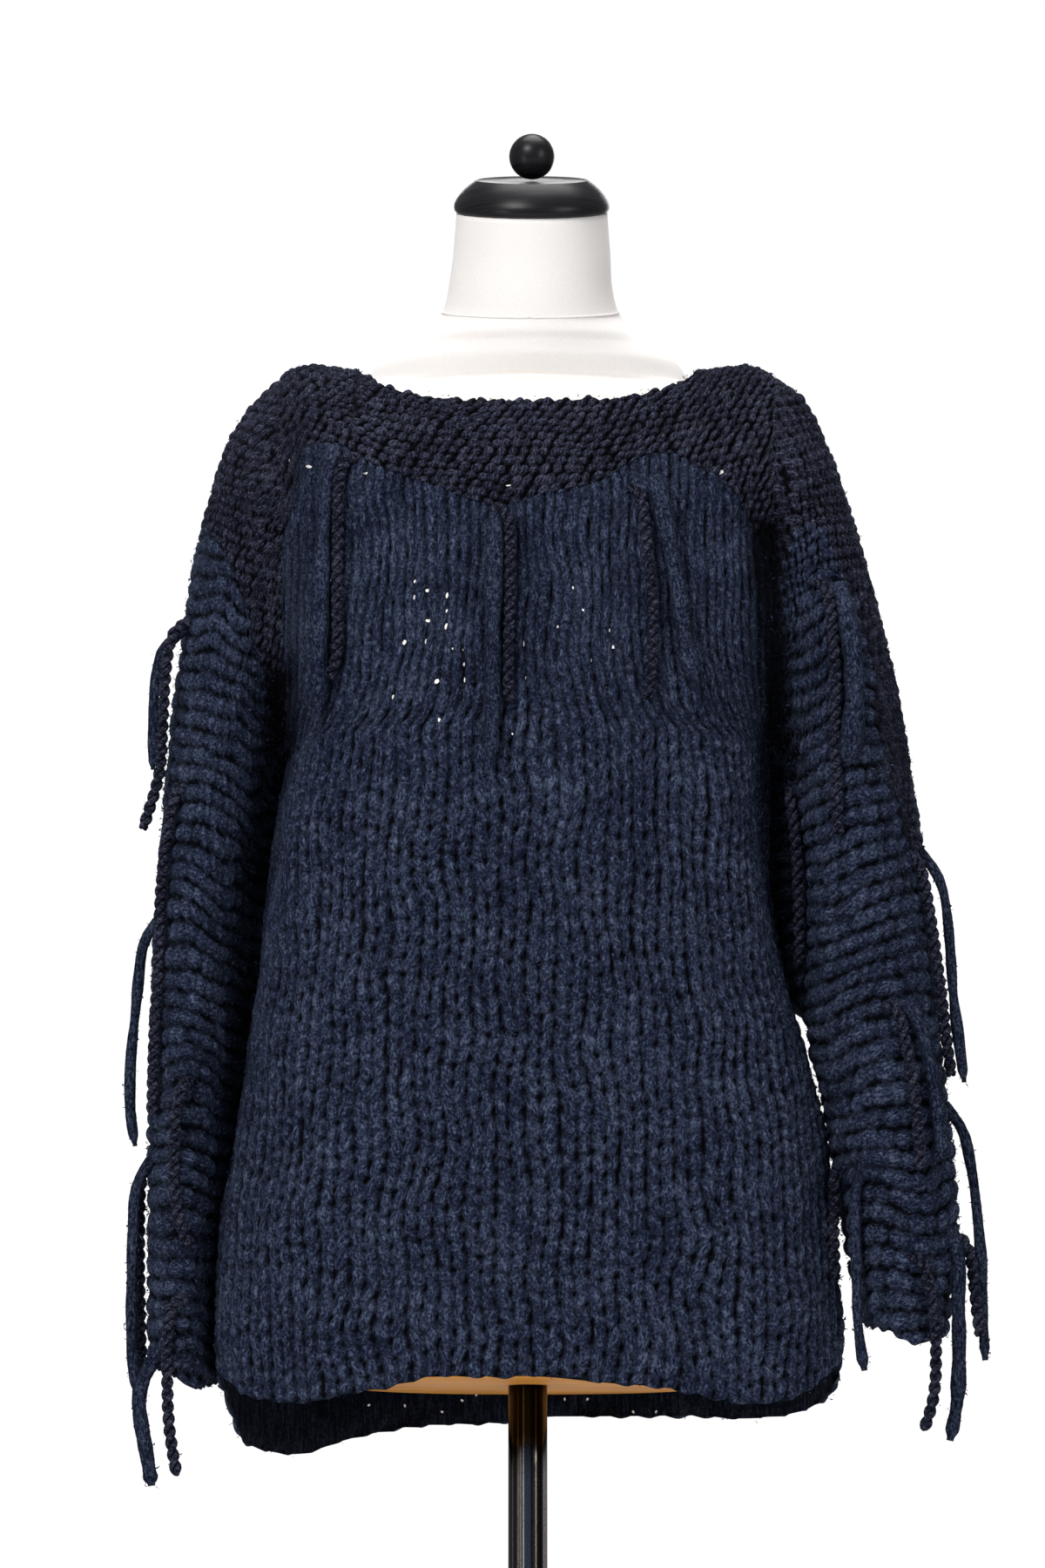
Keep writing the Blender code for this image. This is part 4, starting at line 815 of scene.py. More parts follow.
def shell(name, outer, inner, closed, material, rise, yarn):
    """One closed cloth wall from an outer and an inner skin, with the knit's depth and yarn course; the inner
    skin gets a low depth mark as painted shade.
    """
    outer_ids = np.arange(outer.shape[0] * outer.shape[1]).reshape(outer.shape[:2])
    inner_ids = outer_ids.size + np.arange(inner.shape[0] * inner.shape[1]).reshape(inner.shape[:2])
    rims = []
    for row in (0, -1):
        first = list(outer_ids[row])
        second = list(inner_ids[row])
        if closed:
            first.append(first[0])
            second.append(second[0])
        rim = np.array(zip_rims(first, second))
        rims.append(rim if row == -1 else rim[:, ::-1])
    if not closed:
        for column in (0, -1):
            rim = np.array(zip_rims(list(outer_ids[:, column]), list(inner_ids[:, column])))
            rims.append(rim if column == 0 else rim[:, ::-1])
    triangles = np.concatenate([quads(outer_ids, closed), quads(inner_ids, closed)[:, ::-1]] + rims)
    points = np.concatenate([outer.reshape(-1, 3), inner.reshape(-1, 3)])
    item = mesh_object(name, points, triangles, [material])
    inner_points = inner.reshape(-1, 3)
    knit_marks(item, np.concatenate([rise.ravel(), np.full(len(inner_points), INNER_RISE_PAINTED_SHADE)]),
               np.concatenate([yarn.reshape(-1, 3), inner_points]))
    return item


def knit_marks(item, rise, yarn):
    """Marks for the wool: how high a point lies in the knit, which the wool paints as shade and which is
    lowered further where more shade is painted, and its place on the yarn.
    """
    mark = item.data.attributes.new("rise", "FLOAT", "POINT")
    mark.data.foreach_set("value", np.asarray(rise, np.float32))
    course = item.data.attributes.new("yarn", "FLOAT_VECTOR", "POINT")
    course.data.foreach_set("vector", np.asarray(yarn, np.float32).ravel())


def roll_edge(distance):
    """How far each skin turns in towards the other near a free edge."""
    near = np.clip(1 - distance / EDGE_ROUND, 0, 1)
    return WALL * 0.42 * (1 - np.sqrt(1 - near * near * 0.98))


proxies = []
valleys = []
hem_insides = []
fuzz_seeds = {"navy_wool": [], "dark_wool": []}


def note_surface(points, normals, closed, slot):
    """Keep a coarse copy for laying strands, and roots for loose fibres."""
    coarse = points[::PROXY_COARSE, ::PROXY_COARSE]
    ids = np.arange(coarse.shape[0] * coarse.shape[1]).reshape(coarse.shape[:2])
    proxies.append((coarse.reshape(-1, 3), quads(ids, closed)))
    fuzz_seeds[slot].append((points.reshape(-1, 3), normals.reshape(-1, 3)))


def column_lengths(point):
    """How far along its column each grid point lies."""
    step = np.linalg.norm(np.diff(point, axis=0), axis=2)
    return np.concatenate([np.zeros((1, point.shape[1])), np.cumsum(step, axis=0)])


def neck_distance(point, from_low):
    """Distance to the neck edge, and far away where a yoke is sewn on."""
    return np.where(np.abs(point[..., 0]) < NECK_REACH, from_low[-1] - from_low, FAR)


def panel_knit(u, point, from_low, front):
    """Navy stocking stitch: the place in stitches and rows, depth, yarn course and relief."""
    calm = np.clip((point[..., 2] - 1.02) / 0.16, 0, 1)
    a = (u + 1) / 2 * WALES
    b = from_low / ROW
    a2 = a + 0.16 * wander(a, b, 9, 21) + 0.05 * wander(a, b, 3, 22)
    b2 = b + 0.30 * wander(a, b, 8, 23)
    rise, yarn = stocking_relief(a2, b2, WALE, calm)
    beside = np.clip((FELT_ACROSS - point[..., 0]) / 0.03, 0, 1)
    above = np.clip((point[..., 2] - FELT_LOW) / 0.05, 0, 1)
    felted = 1 - FELT_SHARE * beside * above * front
    # Painted shade: the calm upper chest is marked up to 8% lower, so it looks a little darker; this also
    # lowers its relief a little
    rise = (0.62 + (rise - 0.62) * felted) * (1 - 0.08 * calm)
    return a, b, rise, yarn, rise * NAVY_RELIEF - NAVY_SINK + 0.0007 * wander(a, b, 6, 24)


def yoke_knit(u, point, from_low):
    """Dark bumpy stitch in rows that follow the neck."""
    a = (u + 1) / 2 * 0.46 / DARK_STITCH
    climbed = from_low + (point[:1, :, 2] - SPRING) * 1.03
    b = (0.105 + 0.046 * (point[:, :, 0] / 0.172) ** 2 - climbed) / DARK_ROW
    a2 = a + 0.35 * wander(a, b, 12, 31)
    b2 = b + 0.45 * wander(a, b, 14, 32)
    rise, yarn = bump_relief(a2, b2, DARK_STITCH, DARK_ROW, -26, 40, 0.95, 1.0)
    return a, b, rise, yarn, rise * DARK_RELIEF - DARK_SINK + 0.0005 * wander(a, b, 7, 33)


def body_piece(name, node, front, low, high, counts, surface, material, slot):
    """A panel or a yoke: low and high give the levels of its edges."""
    skin, outward, _ = surface
    facing = -1 if front else 1
    navy = slot == "navy_wool"
    columns, rows = counts

    def lay(column_count, row_count):
        across = np.linspace(-1, 1, column_count + 1)
        share = np.linspace(0, 1, row_count + 1)
        level = low(across)[None, :] + (high(across) - low(across))[None, :] * share[:, None]
        return np.broadcast_to(across, level.shape), level

    u, v = lay(columns, rows)
    point = skin(u, v)
    normal = outward(u, v)
    dim = crease(point)
    from_low = column_lengths(point)
    if navy:
        a, b, rise, yarn, relief = panel_knit(u, point, from_low, front)
        free = from_low
    else:
        a, b, rise, yarn, relief = yoke_knit(u, point, from_low)
        free = neck_distance(point, from_low)
    near = np.clip(1 - free / SCALLOP_REACH, 0, 1)
    waves = (SCALLOP_RISE * np.sin(2 * pi * a * (1 if navy else 0.5))
             + SCALLOP_DRIFT * wander(a, b * 0, 5, 35))
    outer = point + normal * (relief - roll_edge(free))[..., None]
    outer[..., 2] += near * near * waves * (-1 if navy else 1)
    iu, iv = lay(columns // INNER_COARSE, rows // INNER_COARSE)
    inner_point = skin(iu, iv)
    inner_normal = outward(iu, iv)
    crease(inner_point)
    inner_low = column_lengths(inner_point)
    inner_free = inner_low if navy else neck_distance(inner_point, inner_low)
    inner = inner_point - inner_normal * (WALL - roll_edge(inner_free))[..., None]
    for points in (outer, inner):
        points[..., 1] = facing * np.maximum(facing * points[..., 1], SEAM_GAP / 2)
    # Painted shade: the depth mark is lowered along the creases, so the colour darkens there
    item = shell(name, outer, inner, False, material, rise * (1 - 0.8 * dim), yarn)
    if front:
        valleys.append(np.column_stack([outer.reshape(-1, 3), rise.ravel()]))
    elif navy:
        hem_insides.append(inner.reshape(-1, 3))
    note_surface(point, normal, False, slot)
    finish_cloth(item, node)


def ridge_knit(point, about, lift, side, seed):
    """Navy ridges round a sleeve, with dark bumps on the outside of the right one."""
    a = about / RIDGE_STITCH
    b = (SLEEVE_TOP - lift) / RIDGE_PITCH
    a2 = a + 0.30 * wander(a, b, 9, seed + 1)
    b2 = b + 0.30 * wander(a, b, 11, seed + 2)
    rise, yarn = bump_relief(a2, b2, RIDGE_STITCH, RIDGE_PITCH, 8 * side, seed + 3, 1.3, 0.96, 9)
    relief = rise * NAVY_RELIEF - NAVY_SINK + 0.0008 * wander(a, b, 6, seed + 4)
    if side < 0:
        return a, b, rise, yarn, relief, None
    limit = np.interp(point[..., 2], DARK_LIMIT[:, 0], DARK_LIMIT[:, 1], 1.0, 0.0)
    dark_zone = point[..., 0] - limit + 0.003 * wander(a, b, 4, 77) > 0
    bumps, course = bump_relief(a2 * 1.1, b2 * RIDGE_PITCH / SLEEVE_DARK_ROW,
                                SLEEVE_DARK_STITCH, SLEEVE_DARK_ROW, 30, 70)
    rise = np.where(dark_zone, bumps, rise)
    yarn = np.where(dark_zone[..., None], course, yarn)
    relief = np.where(dark_zone, bumps * DARK_RELIEF - DARK_SINK + 0.0004, relief)
    return a, b, rise, yarn, relief, dark_zone


def cap_knit(point, about, lift, side, seed):
    """Dark bumps of a sleeve cap, and where the right cap's front is navy instead."""
    a = about / DARK_STITCH
    b = (SLEEVE_TOP - lift) / (DARK_ROW * 1.25)
    a2 = a + 0.30 * wander(a, b, 11, seed + 5)
    b2 = b + 0.35 * wander(a, b, 12, seed + 6)
    rise, yarn = bump_relief(a2, b2, DARK_STITCH, DARK_ROW * 1.15, 24 * side, seed + 7, 0.95, 1.05)
    top = np.interp(point[..., 0], NAVY_TOP[:, 0], NAVY_TOP[:, 1], 0.0, 0.0)
    navy_zone = (point[..., 1] < 0) & (point[..., 2] < top + 0.004 * wander(a, b, 4, 78))
    return a, b, rise, yarn, rise * DARK_RELIEF - DARK_SINK, navy_zone


def sleeve_piece(name, node, surface, side, start, end, counts, material, slot):
    """A sleeve or its cap: start and end give the rings of its edges."""
    skin, outward = surface
    navy = slot == "navy_wool"
    columns, rows = counts

    def lay(column_count, row_count):
        turn = np.arange(column_count) / column_count
        share = np.linspace(0, 1, row_count + 1)
        ring = start(turn)[None, :] + (end(turn) - start(turn))[None, :] * share[:, None]
        return ring, np.broadcast_to(turn, ring.shape)

    def from_cuff(point):
        length = column_lengths(point)
        return length[-1] - length if navy else np.full(length.shape, FAR)

    r, s = lay(columns, rows)
    point = skin(r, s)
    normal = outward(r, s)
    dim = np.maximum(crease(point), close_gap(point, normal, side))
    if navy:
        droop(point, side)
    free = from_cuff(point)
    girth_rings = np.linspace(0, CUFF_RING, 25)
    turns = np.linspace(0, 1, 73)
    loops = skin(girth_rings[:, None] + turns * 0, turns + girth_rings[:, None] * 0)
    girths = np.linalg.norm(np.diff(loops, axis=1), axis=2).sum(axis=1)
    girth = np.interp(r, girth_rings, girths)
    climb = np.interp(point[..., 2], RIDGE_CLIMB[:, 0], RIDGE_CLIMB[:, 1])
    lift = point[..., 2] - climb * (np.abs(point[..., 0]) - SLEEVE_MIDDLE)
    about = np.where(s > 0.5, s - 1, s) * girth
    seed = SLEEVE_SEED[side]
    knit = ridge_knit if navy else cap_knit
    a, b, rise, yarn, relief, other_zone = knit(point, about, lift, side, seed)
    outer = point + normal * (relief - roll_edge(free))[..., None]
    near = np.clip(1 - free / SCALLOP_REACH, 0, 1)
    waves = (SCALLOP_RISE * np.sin(2 * pi * about / CUFF_SCALLOP)
             + SCALLOP_RISE * wander(a, b * 0, 4, seed + 9))
    outer[..., 2] -= near * near * waves
    inner_r, inner_s = lay(columns // INNER_COARSE, rows // INNER_COARSE)
    inner_point = skin(inner_r, inner_s)
    inner_normal = outward(inner_r, inner_s)
    crease(inner_point)
    close_gap(inner_point, inner_normal, side)
    if navy:
        droop(inner_point, side)
    inner = inner_point - inner_normal * (WALL - roll_edge(from_cuff(inner_point)))[..., None]
    # Painted shade: the depth mark is lowered along the creases and where the sleeve's back is drawn in, so
    # the colour darkens there
    item = shell(name, outer, inner, True, material, rise * (1 - 0.8 * dim), yarn)
    if side > 0:
        item.data.materials.append(dark_wool if navy else navy_wool)
        cells = other_zone[:-1].ravel()
        item.data.polygons.foreach_set("material_index", np.concatenate(
            [cells, cells, np.zeros(len(item.data.polygons) - 2 * len(cells), bool)]).astype(np.int32))
    note_surface(point, normal, True, slot)
    finish_cloth(item, node)


# Flat cut of what shows, by part: flat size and area, which finish_cloth reads but does not use
FLATS = {
    "front_panel": ((0.52, 0.62), None), "back_panel": ((0.52, 0.64), None),
    "yoke_front": ((0.44, 0.12), 0.041), "yoke_back": ((0.44, 0.12), 0.043),
    "sleeve_cap_left": ((0.40, 0.18), 0.033), "sleeve_cap_right": ((0.42, 0.26), 0.045),
    "sleeve_left": ((0.46, 0.58), 0.160), "sleeve_right": ((0.44, 0.60), 0.150),
}


def finish_cloth(item, node):
    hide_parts(node)
    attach(item, "root")
    mesh = item.data
    mesh.calc_loop_triangles()
    print(node, len(mesh.loop_triangles), "triangles, area", round(sum(p.area for p in mesh.polygons), 4))
    flat, area = FLATS[node]


# Materials

class Look:
    """A material in the making. An underscore in an input's name stands for a space."""

    def __init__(self, name, colour, roughness, **inputs):
        self.material = bpy.data.materials.new(name)
        self.material.use_nodes = True
        self.tree = self.material.node_tree
        self.shader = self.tree.nodes["Principled BSDF"]
        self.finish(Base_Color=(*colour, 1), Roughness=roughness, Sheen_Roughness=0.45, **inputs)

    def fill(self, node, inputs):
        """Give each input its value, or a link where the value is another node's output."""
        for key, value in inputs.items():
            socket = node.inputs[key.replace("_", " ") if isinstance(key, str) else key]
            if isinstance(value, bpy.types.NodeSocket):
                self.tree.links.new(value, socket)
            else:
                socket.default_value = value

    def finish(self, **inputs):
        self.fill(self.shader, inputs)
        return self.material

    def node(self, kind, output, **inputs):
        node = self.tree.nodes.new("ShaderNode" + kind)
        self.fill(node, inputs)
        return node.outputs[output]

    def mark(self, name, output):
        """A mark that the mesh carries."""
        node = self.tree.nodes.new("ShaderNodeAttribute")
        node.attribute_name = name
        return node.outputs[output]

    def math(self, kind, first, second):
        node = self.tree.nodes.new("ShaderNodeMath")
        node.operation = kind
        self.fill(node, {0: first, 1: second})
        return node.outputs[0]

    def split(self, vector):
        node = self.tree.nodes.new("ShaderNodeSeparateXYZ")
        self.fill(node, {"Vector": vector})
        return node.outputs["X"], node.outputs["Y"], node.outputs["Z"]

    def scaled(self, colour, factor):
        node = self.tree.nodes.new("ShaderNodeVectorMath")
        node.operation = "SCALE"
        self.fill(node, {0: colour, "Scale": factor})
        return node.outputs["Vector"]

    def ramp(self, source, stops):
        """Colours by rising share: share, red, green, blue."""
        node = self.tree.nodes.new("ShaderNodeValToRGB")
        elements = node.color_ramp.elements
        for number, (share, *colour) in enumerate(stops):
            stop = elements[number] if number < 2 else elements.new(share)
            stop.position = share
            stop.color = (*colour, 1)
        self.fill(node, {"Fac": source})
        return node.outputs["Color"]

    def bump(self, height, strength, distance):
        return self.node("Bump", "Normal", Height=height, Strength=strength, Distance=distance)


def wool(name, deep, mid, light, sheen, fibre, bump, ply):
    """Yarn: fine fibres along its course, light ones on dark, painted shade deep in the knit, and painted
    glints along the ply twist.
    """
    look = Look(name, mid, 0.85, Sheen_Weight=sheen, Specular_IOR_Level=0.04,
                Sheen_Tint=(*[min(1, 6 * c) for c in light], 1))
    place = look.node("TexCoord", "Object")
    course = look.mark("yarn", "Vector")
    stretched = look.node("Mapping", "Vector", Vector=course, Scale=(fibre, fibre * 0.34, 40))
    hair = look.node("TexNoise", "Fac", Vector=stretched, Scale=1.0, Detail=5, Roughness=0.65, Distortion=0.9)
    fluff = look.node("TexNoise", "Fac", Vector=place, Scale=fibre * 0.8, Detail=5, Roughness=0.7)
    broad = look.node("TexNoise", "Fac", Vector=place, Scale=28, Detail=3)
    grain = look.math("ADD", look.math("MULTIPLY", hair, 0.55), look.math("MULTIPLY", fluff, 0.45))
    tone = look.math("ADD", look.math("MULTIPLY", grain, 0.90), look.math("MULTIPLY", broad, 0.10))
    # Painted highlight: bright glints along the ply twist are added to the colour; the same stripes also
    # raise the bump
    across, along, tag = look.split(course)
    turns = look.math("ADD", look.math("MULTIPLY", along, 1500.0), look.math("MULTIPLY", across, 1300.0))
    strand = look.math("SINE", look.math("ADD", turns, look.math("MULTIPLY", tag, 9.0)), 0.0)
    glint = look.math("POWER", look.math("MAXIMUM", strand, 0.0), 3.0)
    tone = look.math("ADD", tone, look.math("MULTIPLY", glint, ply))
    colour = look.ramp(tone, [(0.40, *deep), (0.49, *mid), (0.62, *light)])
    # Painted shade: the colour is scaled by the depth mark, darkest in the knit's valleys
    shade = look.node("MapRange", "Result", Value=look.mark("rise", "Fac"), From_Min=0.28, From_Max=0.85,
                      To_Min=0.08, To_Max=1.12)
    height = look.math("ADD", grain, look.math("MULTIPLY", strand, ply))
    return look.finish(Base_Color=look.scaled(colour, shade), Normal=look.bump(height, bump, 0.0011))


def hard_look(name, colour, other, roughness, scale, grain, bump, specular=0.5, sheen=0.0):
    """A hard or woven finish: two tones and a small roughness change on a stretched noise."""
    look = Look(name, colour, roughness, Sheen_Weight=sheen, Specular_IOR_Level=specular)
    stretched = look.node("Mapping", "Vector", Vector=look.node("TexCoord", "Object"), Scale=scale)
    noise = look.node("TexNoise", "Fac", Vector=stretched, Scale=1.0, Detail=6, Roughness=0.6,
                      Distortion=grain)
    polish = look.node("MapRange", "Result", Value=noise, To_Min=roughness * 0.8,
                       To_Max=min(1.0, roughness * 1.2))
    tones = look.ramp(noise, [(0.35, *other), (0.65, *colour)])
    return look.finish(Base_Color=tones, Roughness=polish, Normal=look.bump(noise, bump, 0.0005))


def chrome_look():
    """Polished tube: painted reflections as upright streaks across its width, fine specks, and a painted
    shadow under the board, with painted light lower down.
    """
    look = Look("chrome_look", (0.3, 0.3, 0.3), 0.24, Metallic=1.0)
    place = look.node("TexCoord", "Object")
    across, _, height = look.split(place)
    share = look.node("MapRange", "Result", Value=across, From_Min=-POLE_RADIUS, From_Max=POLE_RADIUS)
    specks = look.node("TexNoise", "Fac", Vector=place, Scale=900, Detail=4)
    # Painted shadow and light: the colour is brighter low on the pole and falls to dim under the board
    (low, bright), (high, dim) = POLE_SHADOW
    shadow = look.node("MapRange", "Result", Value=height, From_Min=low, From_Max=high,
                       To_Min=bright, To_Max=dim)
    depth = look.math("MULTIPLY", specks, shadow)
    # Painted reflections: a colour ramp across the pole's width
    return look.finish(Base_Color=look.scaled(look.ramp(share, POLE_PAINTED_REFLECTIONS), depth))


navy_wool = wool("navy_wool_look", (0.0020, 0.0034, 0.0110), (0.0115, 0.0165, 0.0370),
                 (0.088, 0.110, 0.172), sheen=0.03, fibre=620, bump=0.9, ply=0.0)
dark_wool = wool("dark_wool_look", (0.0016, 0.0020, 0.0052), (0.0068, 0.0078, 0.0180),
                 (0.072, 0.077, 0.116), sheen=0.02, fibre=800, bump=0.9, ply=0.06)
chrome = chrome_look()
form_cover = hard_look("form_cover_look", (0.90, 0.865, 0.835), (0.84, 0.80, 0.77), 0.9,
                       (900, 900, 1400), 0.2, 0.25, specular=0.12, sheen=0.15)
black_lacquer = hard_look("black_lacquer_look", (0.0035, 0.0035, 0.0045), (0.013, 0.013, 0.015), 0.34,
                          (14, 14, 900), 0.1, 0.18, specular=0.20)
board_wood = hard_look("form_board_look", (0.60, 0.265, 0.045), (0.45, 0.175, 0.027), 0.50,
                       (9, 60, 420), 1.2, 0.15, specular=0.12)
base_paint = hard_look("stand_base_look", (0.014, 0.014, 0.016), (0.026, 0.026, 0.028), 0.38,
                       (260, 260, 260), 0.1, 0.25)


# Sweater

def edge_level(smooth, table, level, mirrored=False):
    """The level of a cloth edge for each place across the body, from its table of heights."""
    height = smooth_curve(table[:, 0], table[:, 1])

    def curve(across):
        x = smooth(across, np.full(across.shape, level))[:, 0]
        return level_of(height(np.abs(x) if mirrored else x), x)

    return curve


front = body_surface(True)
back = body_surface(False)
for label, facing_front, surface, hem, yoke, neck in (
        ("front", True, front, FRONT_HEM, FRONT_YOKE, FRONT_NECK),
        ("back", False, back, BACK_HEM, BACK_YOKE, BACK_NECK)):
    hem_level = edge_level(surface[2], hem, HEM_LEVEL)
    yoke_level = edge_level(surface[2], yoke, YOKE_LEVEL)
    neck_level = edge_level(surface[2], neck, NECK_LEVEL, mirrored=True)
    body_piece("knit_" + label + "_panel", label + "_panel", facing_front, hem_level, yoke_level,
               PANEL_GRID, surface, navy_wool, "navy_wool")
    body_piece("knit_yoke_" + label, "yoke_" + label, facing_front, yoke_level, neck_level,
               YOKE_GRID, surface, dark_wool, "dark_wool")

for label, side, sleeve_table, cap_end in (("left", -1, LEFT_SLEEVE, LEFT_CAP_END),
                                           ("right", 1, RIGHT_SLEEVE, RIGHT_CAP_END)):
    surface = sleeve_surface(sleeve_table, side, front[2], back[2])
    end_curve = smooth_curve(cap_end[:, 0], cap_end[:, 1])
    sleeve_piece("knit_sleeve_cap_" + label, "sleeve_cap_" + label, surface, side,
                 lambda turn: np.zeros(turn.shape), lambda turn: end_curve(turn),
                 CAP_GRID, dark_wool, "dark_wool")
    sleeve_piece("knit_sleeve_" + label, "sleeve_" + label, surface, side,
                 lambda turn: end_curve(turn) + 0.008, lambda turn: np.full(turn.shape, CUFF_RING),
                 SLEEVE_GRID, navy_wool, "navy_wool")


# Strands

def cloth_tree():
    """One coarse mesh of all the cloth, for finding what lies behind a strand."""
    points = []
    triangles = []
    count = 0
    for verts, tris in proxies:
        points.append(verts)
        triangles.append(tris + count)
        count += len(verts)
    return BVHTree.FromPolygons(np.concatenate(points).tolist(), np.concatenate(triangles).tolist())


def settle(tree, point, half, clearance):
    """Move a point straight away from the cloth until it is clear of it."""
    for _ in range(4):
        near, _, _, distance = tree.find_nearest(point)
        if near is None or distance >= half + clearance:
            break
        away = (point - near).normalized()
        if away.length < 0.5:
            away = Vector((0, -1, 0))
        point = near + away * (half + clearance + 0.0002)
    return point


def strand_path(tree, name, yarn, depth, path):
    """A hanging strand, laid on the cloth behind it, with an arch out of the fabric at its top."""
    half = CORD if yarn == "cord" else ROVING
    path = np.array(path)
    heights = np.linspace(path[0, 1], path[-1, 1], max(6, 1 + int((path[0, 1] - path[-1, 1]) / 0.008)))
    xs = smooth_curve(path[::-1, 1], path[::-1, 0])(heights)
    ys = []
    for x, z in zip(xs, heights):
        hit = tree.ray_cast(Vector((x, -1, z)), Vector((0, 1, 0)))[0]
        ys.append(hit.y - half - STRAND_CLEARANCE if hit is not None and hit.y < 0.03 else None)
    known = [y for y in ys if y is not None]
    last = known[0] if known else depth
    points = []
    for x, y, z in zip(xs, ys, heights):
        if y is not None:
            last = min(y, last + STRAND_DRIFT / 3)
        points.append(settle(tree, Vector((x, last, z)), half * 0.9, STRAND_CLEARANCE))
    near, normal, _, _ = tree.find_nearest(points[0])
    if (points[0] - near).dot(normal) < 0:
        normal = -normal
    top = points[0]
    if yarn == "cord":
        lean = Vector((0.0026 * TASSEL_LEAN.get(name, 1 if top.x < 0 else -1), 0, 0))
        up = Vector((0, 0, 0.0035))
        arch = [near + lean * 3 - normal * 0.003, near + up + normal * 0.0015 + lean * 2.2,
                top + up + lean * 0.7]
    else:
        arch = [near + Vector((0, 0, 0.007)) - normal * 0.004, near + Vector((0, 0, 0.001)) - normal * 0.0005]
    points = np.array([tuple(p) for p in arch + points[1:]])
    for _ in range(2):
        points[1:-1] = points[1:-1] * 0.5 + (points[:-2] + points[2:]) * 0.25
    return even_along(points, 2 + int(np.linalg.norm(np.diff(points, axis=0), axis=1).sum() / STRAND_STEP))


def frames_along(path):
    """Two sideways directions at each point of a path, turning as little as they can."""
    tangent = np.gradient(path, axis=0)
    tangent /= np.linalg.norm(tangent, axis=1, keepdims=True)
    side = np.cross(tangent, np.array([0.0, 1.0, 0.0]))
    side /= np.maximum(np.linalg.norm(side, axis=1, keepdims=True), 1e-6)
    return side, np.cross(tangent, side)


def closed_rings(ids):
    """Triangles round a row of rings, and fans to a middle point behind each end ring."""
    parts = [quads(ids, True)]
    for end, ring in ((ids.size, ids[0]), (ids.size + 1, ids[-1])):
        fan = np.stack([np.full(len(ring), end), np.roll(ring, -1), ring], 1)
        parts.append(fan if end == ids.size else fan[:, ::-1])
    return np.concatenate(parts)


def tube(path, radii, sides, flat=1.0, rise=0.85, twist=0.0, tag=0.0, edge_painted_shade=0.0):
    """A closed tube with its ends drawn in: points, triangles, depth marks with painted shade towards two
    sides, yarn course, outward.
    """
    side, other = frames_along(path)
    turn = np.linspace(0, 2 * pi, sides, endpoint=False)
    ring = (np.cos(turn)[None, :, None] * side[:, None, :]
            + np.sin(turn)[None, :, None] * other[:, None, :] * flat)
    points = path[:, None, :] + ring * radii[:, None, None]
    triangles = closed_rings(np.arange(len(path) * sides).reshape(len(path), sides))
    ends = np.array([path[0], path[-1]])
    length = distances(path)
    around = radii.max() * np.abs(turn - pi)[None, :] + twist * length[:, None]
    along = length[:, None] - twist * around
    course = np.stack([around, along + 0 * around, tag + 0 * around], -1).reshape(-1, 3)
    # Painted shade: the depth mark drops towards the two sides of the tube
    sides_painted_shade = 1 - edge_painted_shade * np.cos(turn) ** 4
    marks = np.append((rise * sides_painted_shade + 0 * length[:, None]).ravel(), [rise * 0.6, rise])
    away = ring.reshape(-1, 3)
    return (np.concatenate([points.reshape(-1, 3), ends]), triangles, marks,
            np.concatenate([course, course[:1], course[-1:]]), np.concatenate([away, away[:1], away[-1:]]))


def cord_parts(path):
    """Two plies wound round each other, with painted shade in the groove between them."""
    length = distances(path)
    side, other = frames_along(path)
    parts = []
    for ply in (0, 1):
        turn = 2 * pi * length / TWIST_LENGTH + ply * pi
        centre = path + CORD * 0.47 * (np.cos(turn)[:, None] * side + np.sin(turn)[:, None] * other)
        tip = np.clip((length[-1] - length) / 0.003 + 0.5, 0.5, 1)
        radii = CORD * 0.60 * (1 + 0.06 * np.sin(2 * turn + ply)) * tip
        made = tube(centre, radii, CORD_SIDES, rise=0.72, twist=0.8, tag=ply + path[0, 2] * 9)
        # Painted shade: the side of each ply that faces the cord's middle is marked lower, so it looks darker
        facing = np.cos(np.linspace(0, 2 * pi, CORD_SIDES, endpoint=False)[None, :] - turn[:, None])
        made[2][:-2] *= (1 - 0.75 * np.clip(0.30 - facing, 0, 1)).ravel()
        parts.append(made)
    return parts


def roving_parts(path, seed, thick):
    """A felted strand of uneven thickness, with painted shade along its edges."""
    source = np.random.default_rng(seed)
    length = np.linspace(0, 1, len(path))
    lumps = np.interp(length, np.linspace(0, 1, 9), source.uniform(0.80, 1.12, 9))
    lumps = lumps + 0.05 * np.sin(length * 30 + seed) + source.uniform(-0.03, 0.03, len(path))
    tip = np.clip((1 - length) / 0.05, 0.30, 1) ** 0.6
    radii = ROVING * lumps * tip * thick
    return [tube(path, radii, ROVING_SIDES, ROVING_FLAT, rise=0.68, tag=seed, edge_painted_shade=0.40)]


tree = cloth_tree()
for number, (name, strands) in enumerate(TASSELS.items()):
    pieces = []
    kinds = []
    for k, (yarn, depth, path) in enumerate(strands):
        laid = strand_path(tree, name, yarn, depth, path)
        if yarn == "cord":
            made = cord_parts(laid)
        else:
            made = roving_parts(laid, number * 3 + k, TASSEL_THICK.get(name, 1.0))
        pieces += made
        kinds += [0 if yarn == "cord" else 1] * len(made)
    starts = np.cumsum([0] + [len(p[0]) for p in pieces])
    item = mesh_object("yarn_" + name, np.concatenate([p[0] for p in pieces]),
                       np.concatenate([p[1] + s for p, s in zip(pieces, starts)]), [dark_wool, navy_wool],
                       np.concatenate([np.full(len(p[1]), kind) for p, kind in zip(pieces, kinds)]))
    knit_marks(item, np.concatenate([p[2] for p in pieces]), np.concatenate([p[3] for p in pieces]))
    for part, kind in zip(pieces, kinds):
        fuzz_seeds["navy_wool" if kind else "dark_wool"].append((part[0], part[4]))
    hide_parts(name)
    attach(item, "root")


# Loose fibres that stand off the yarn

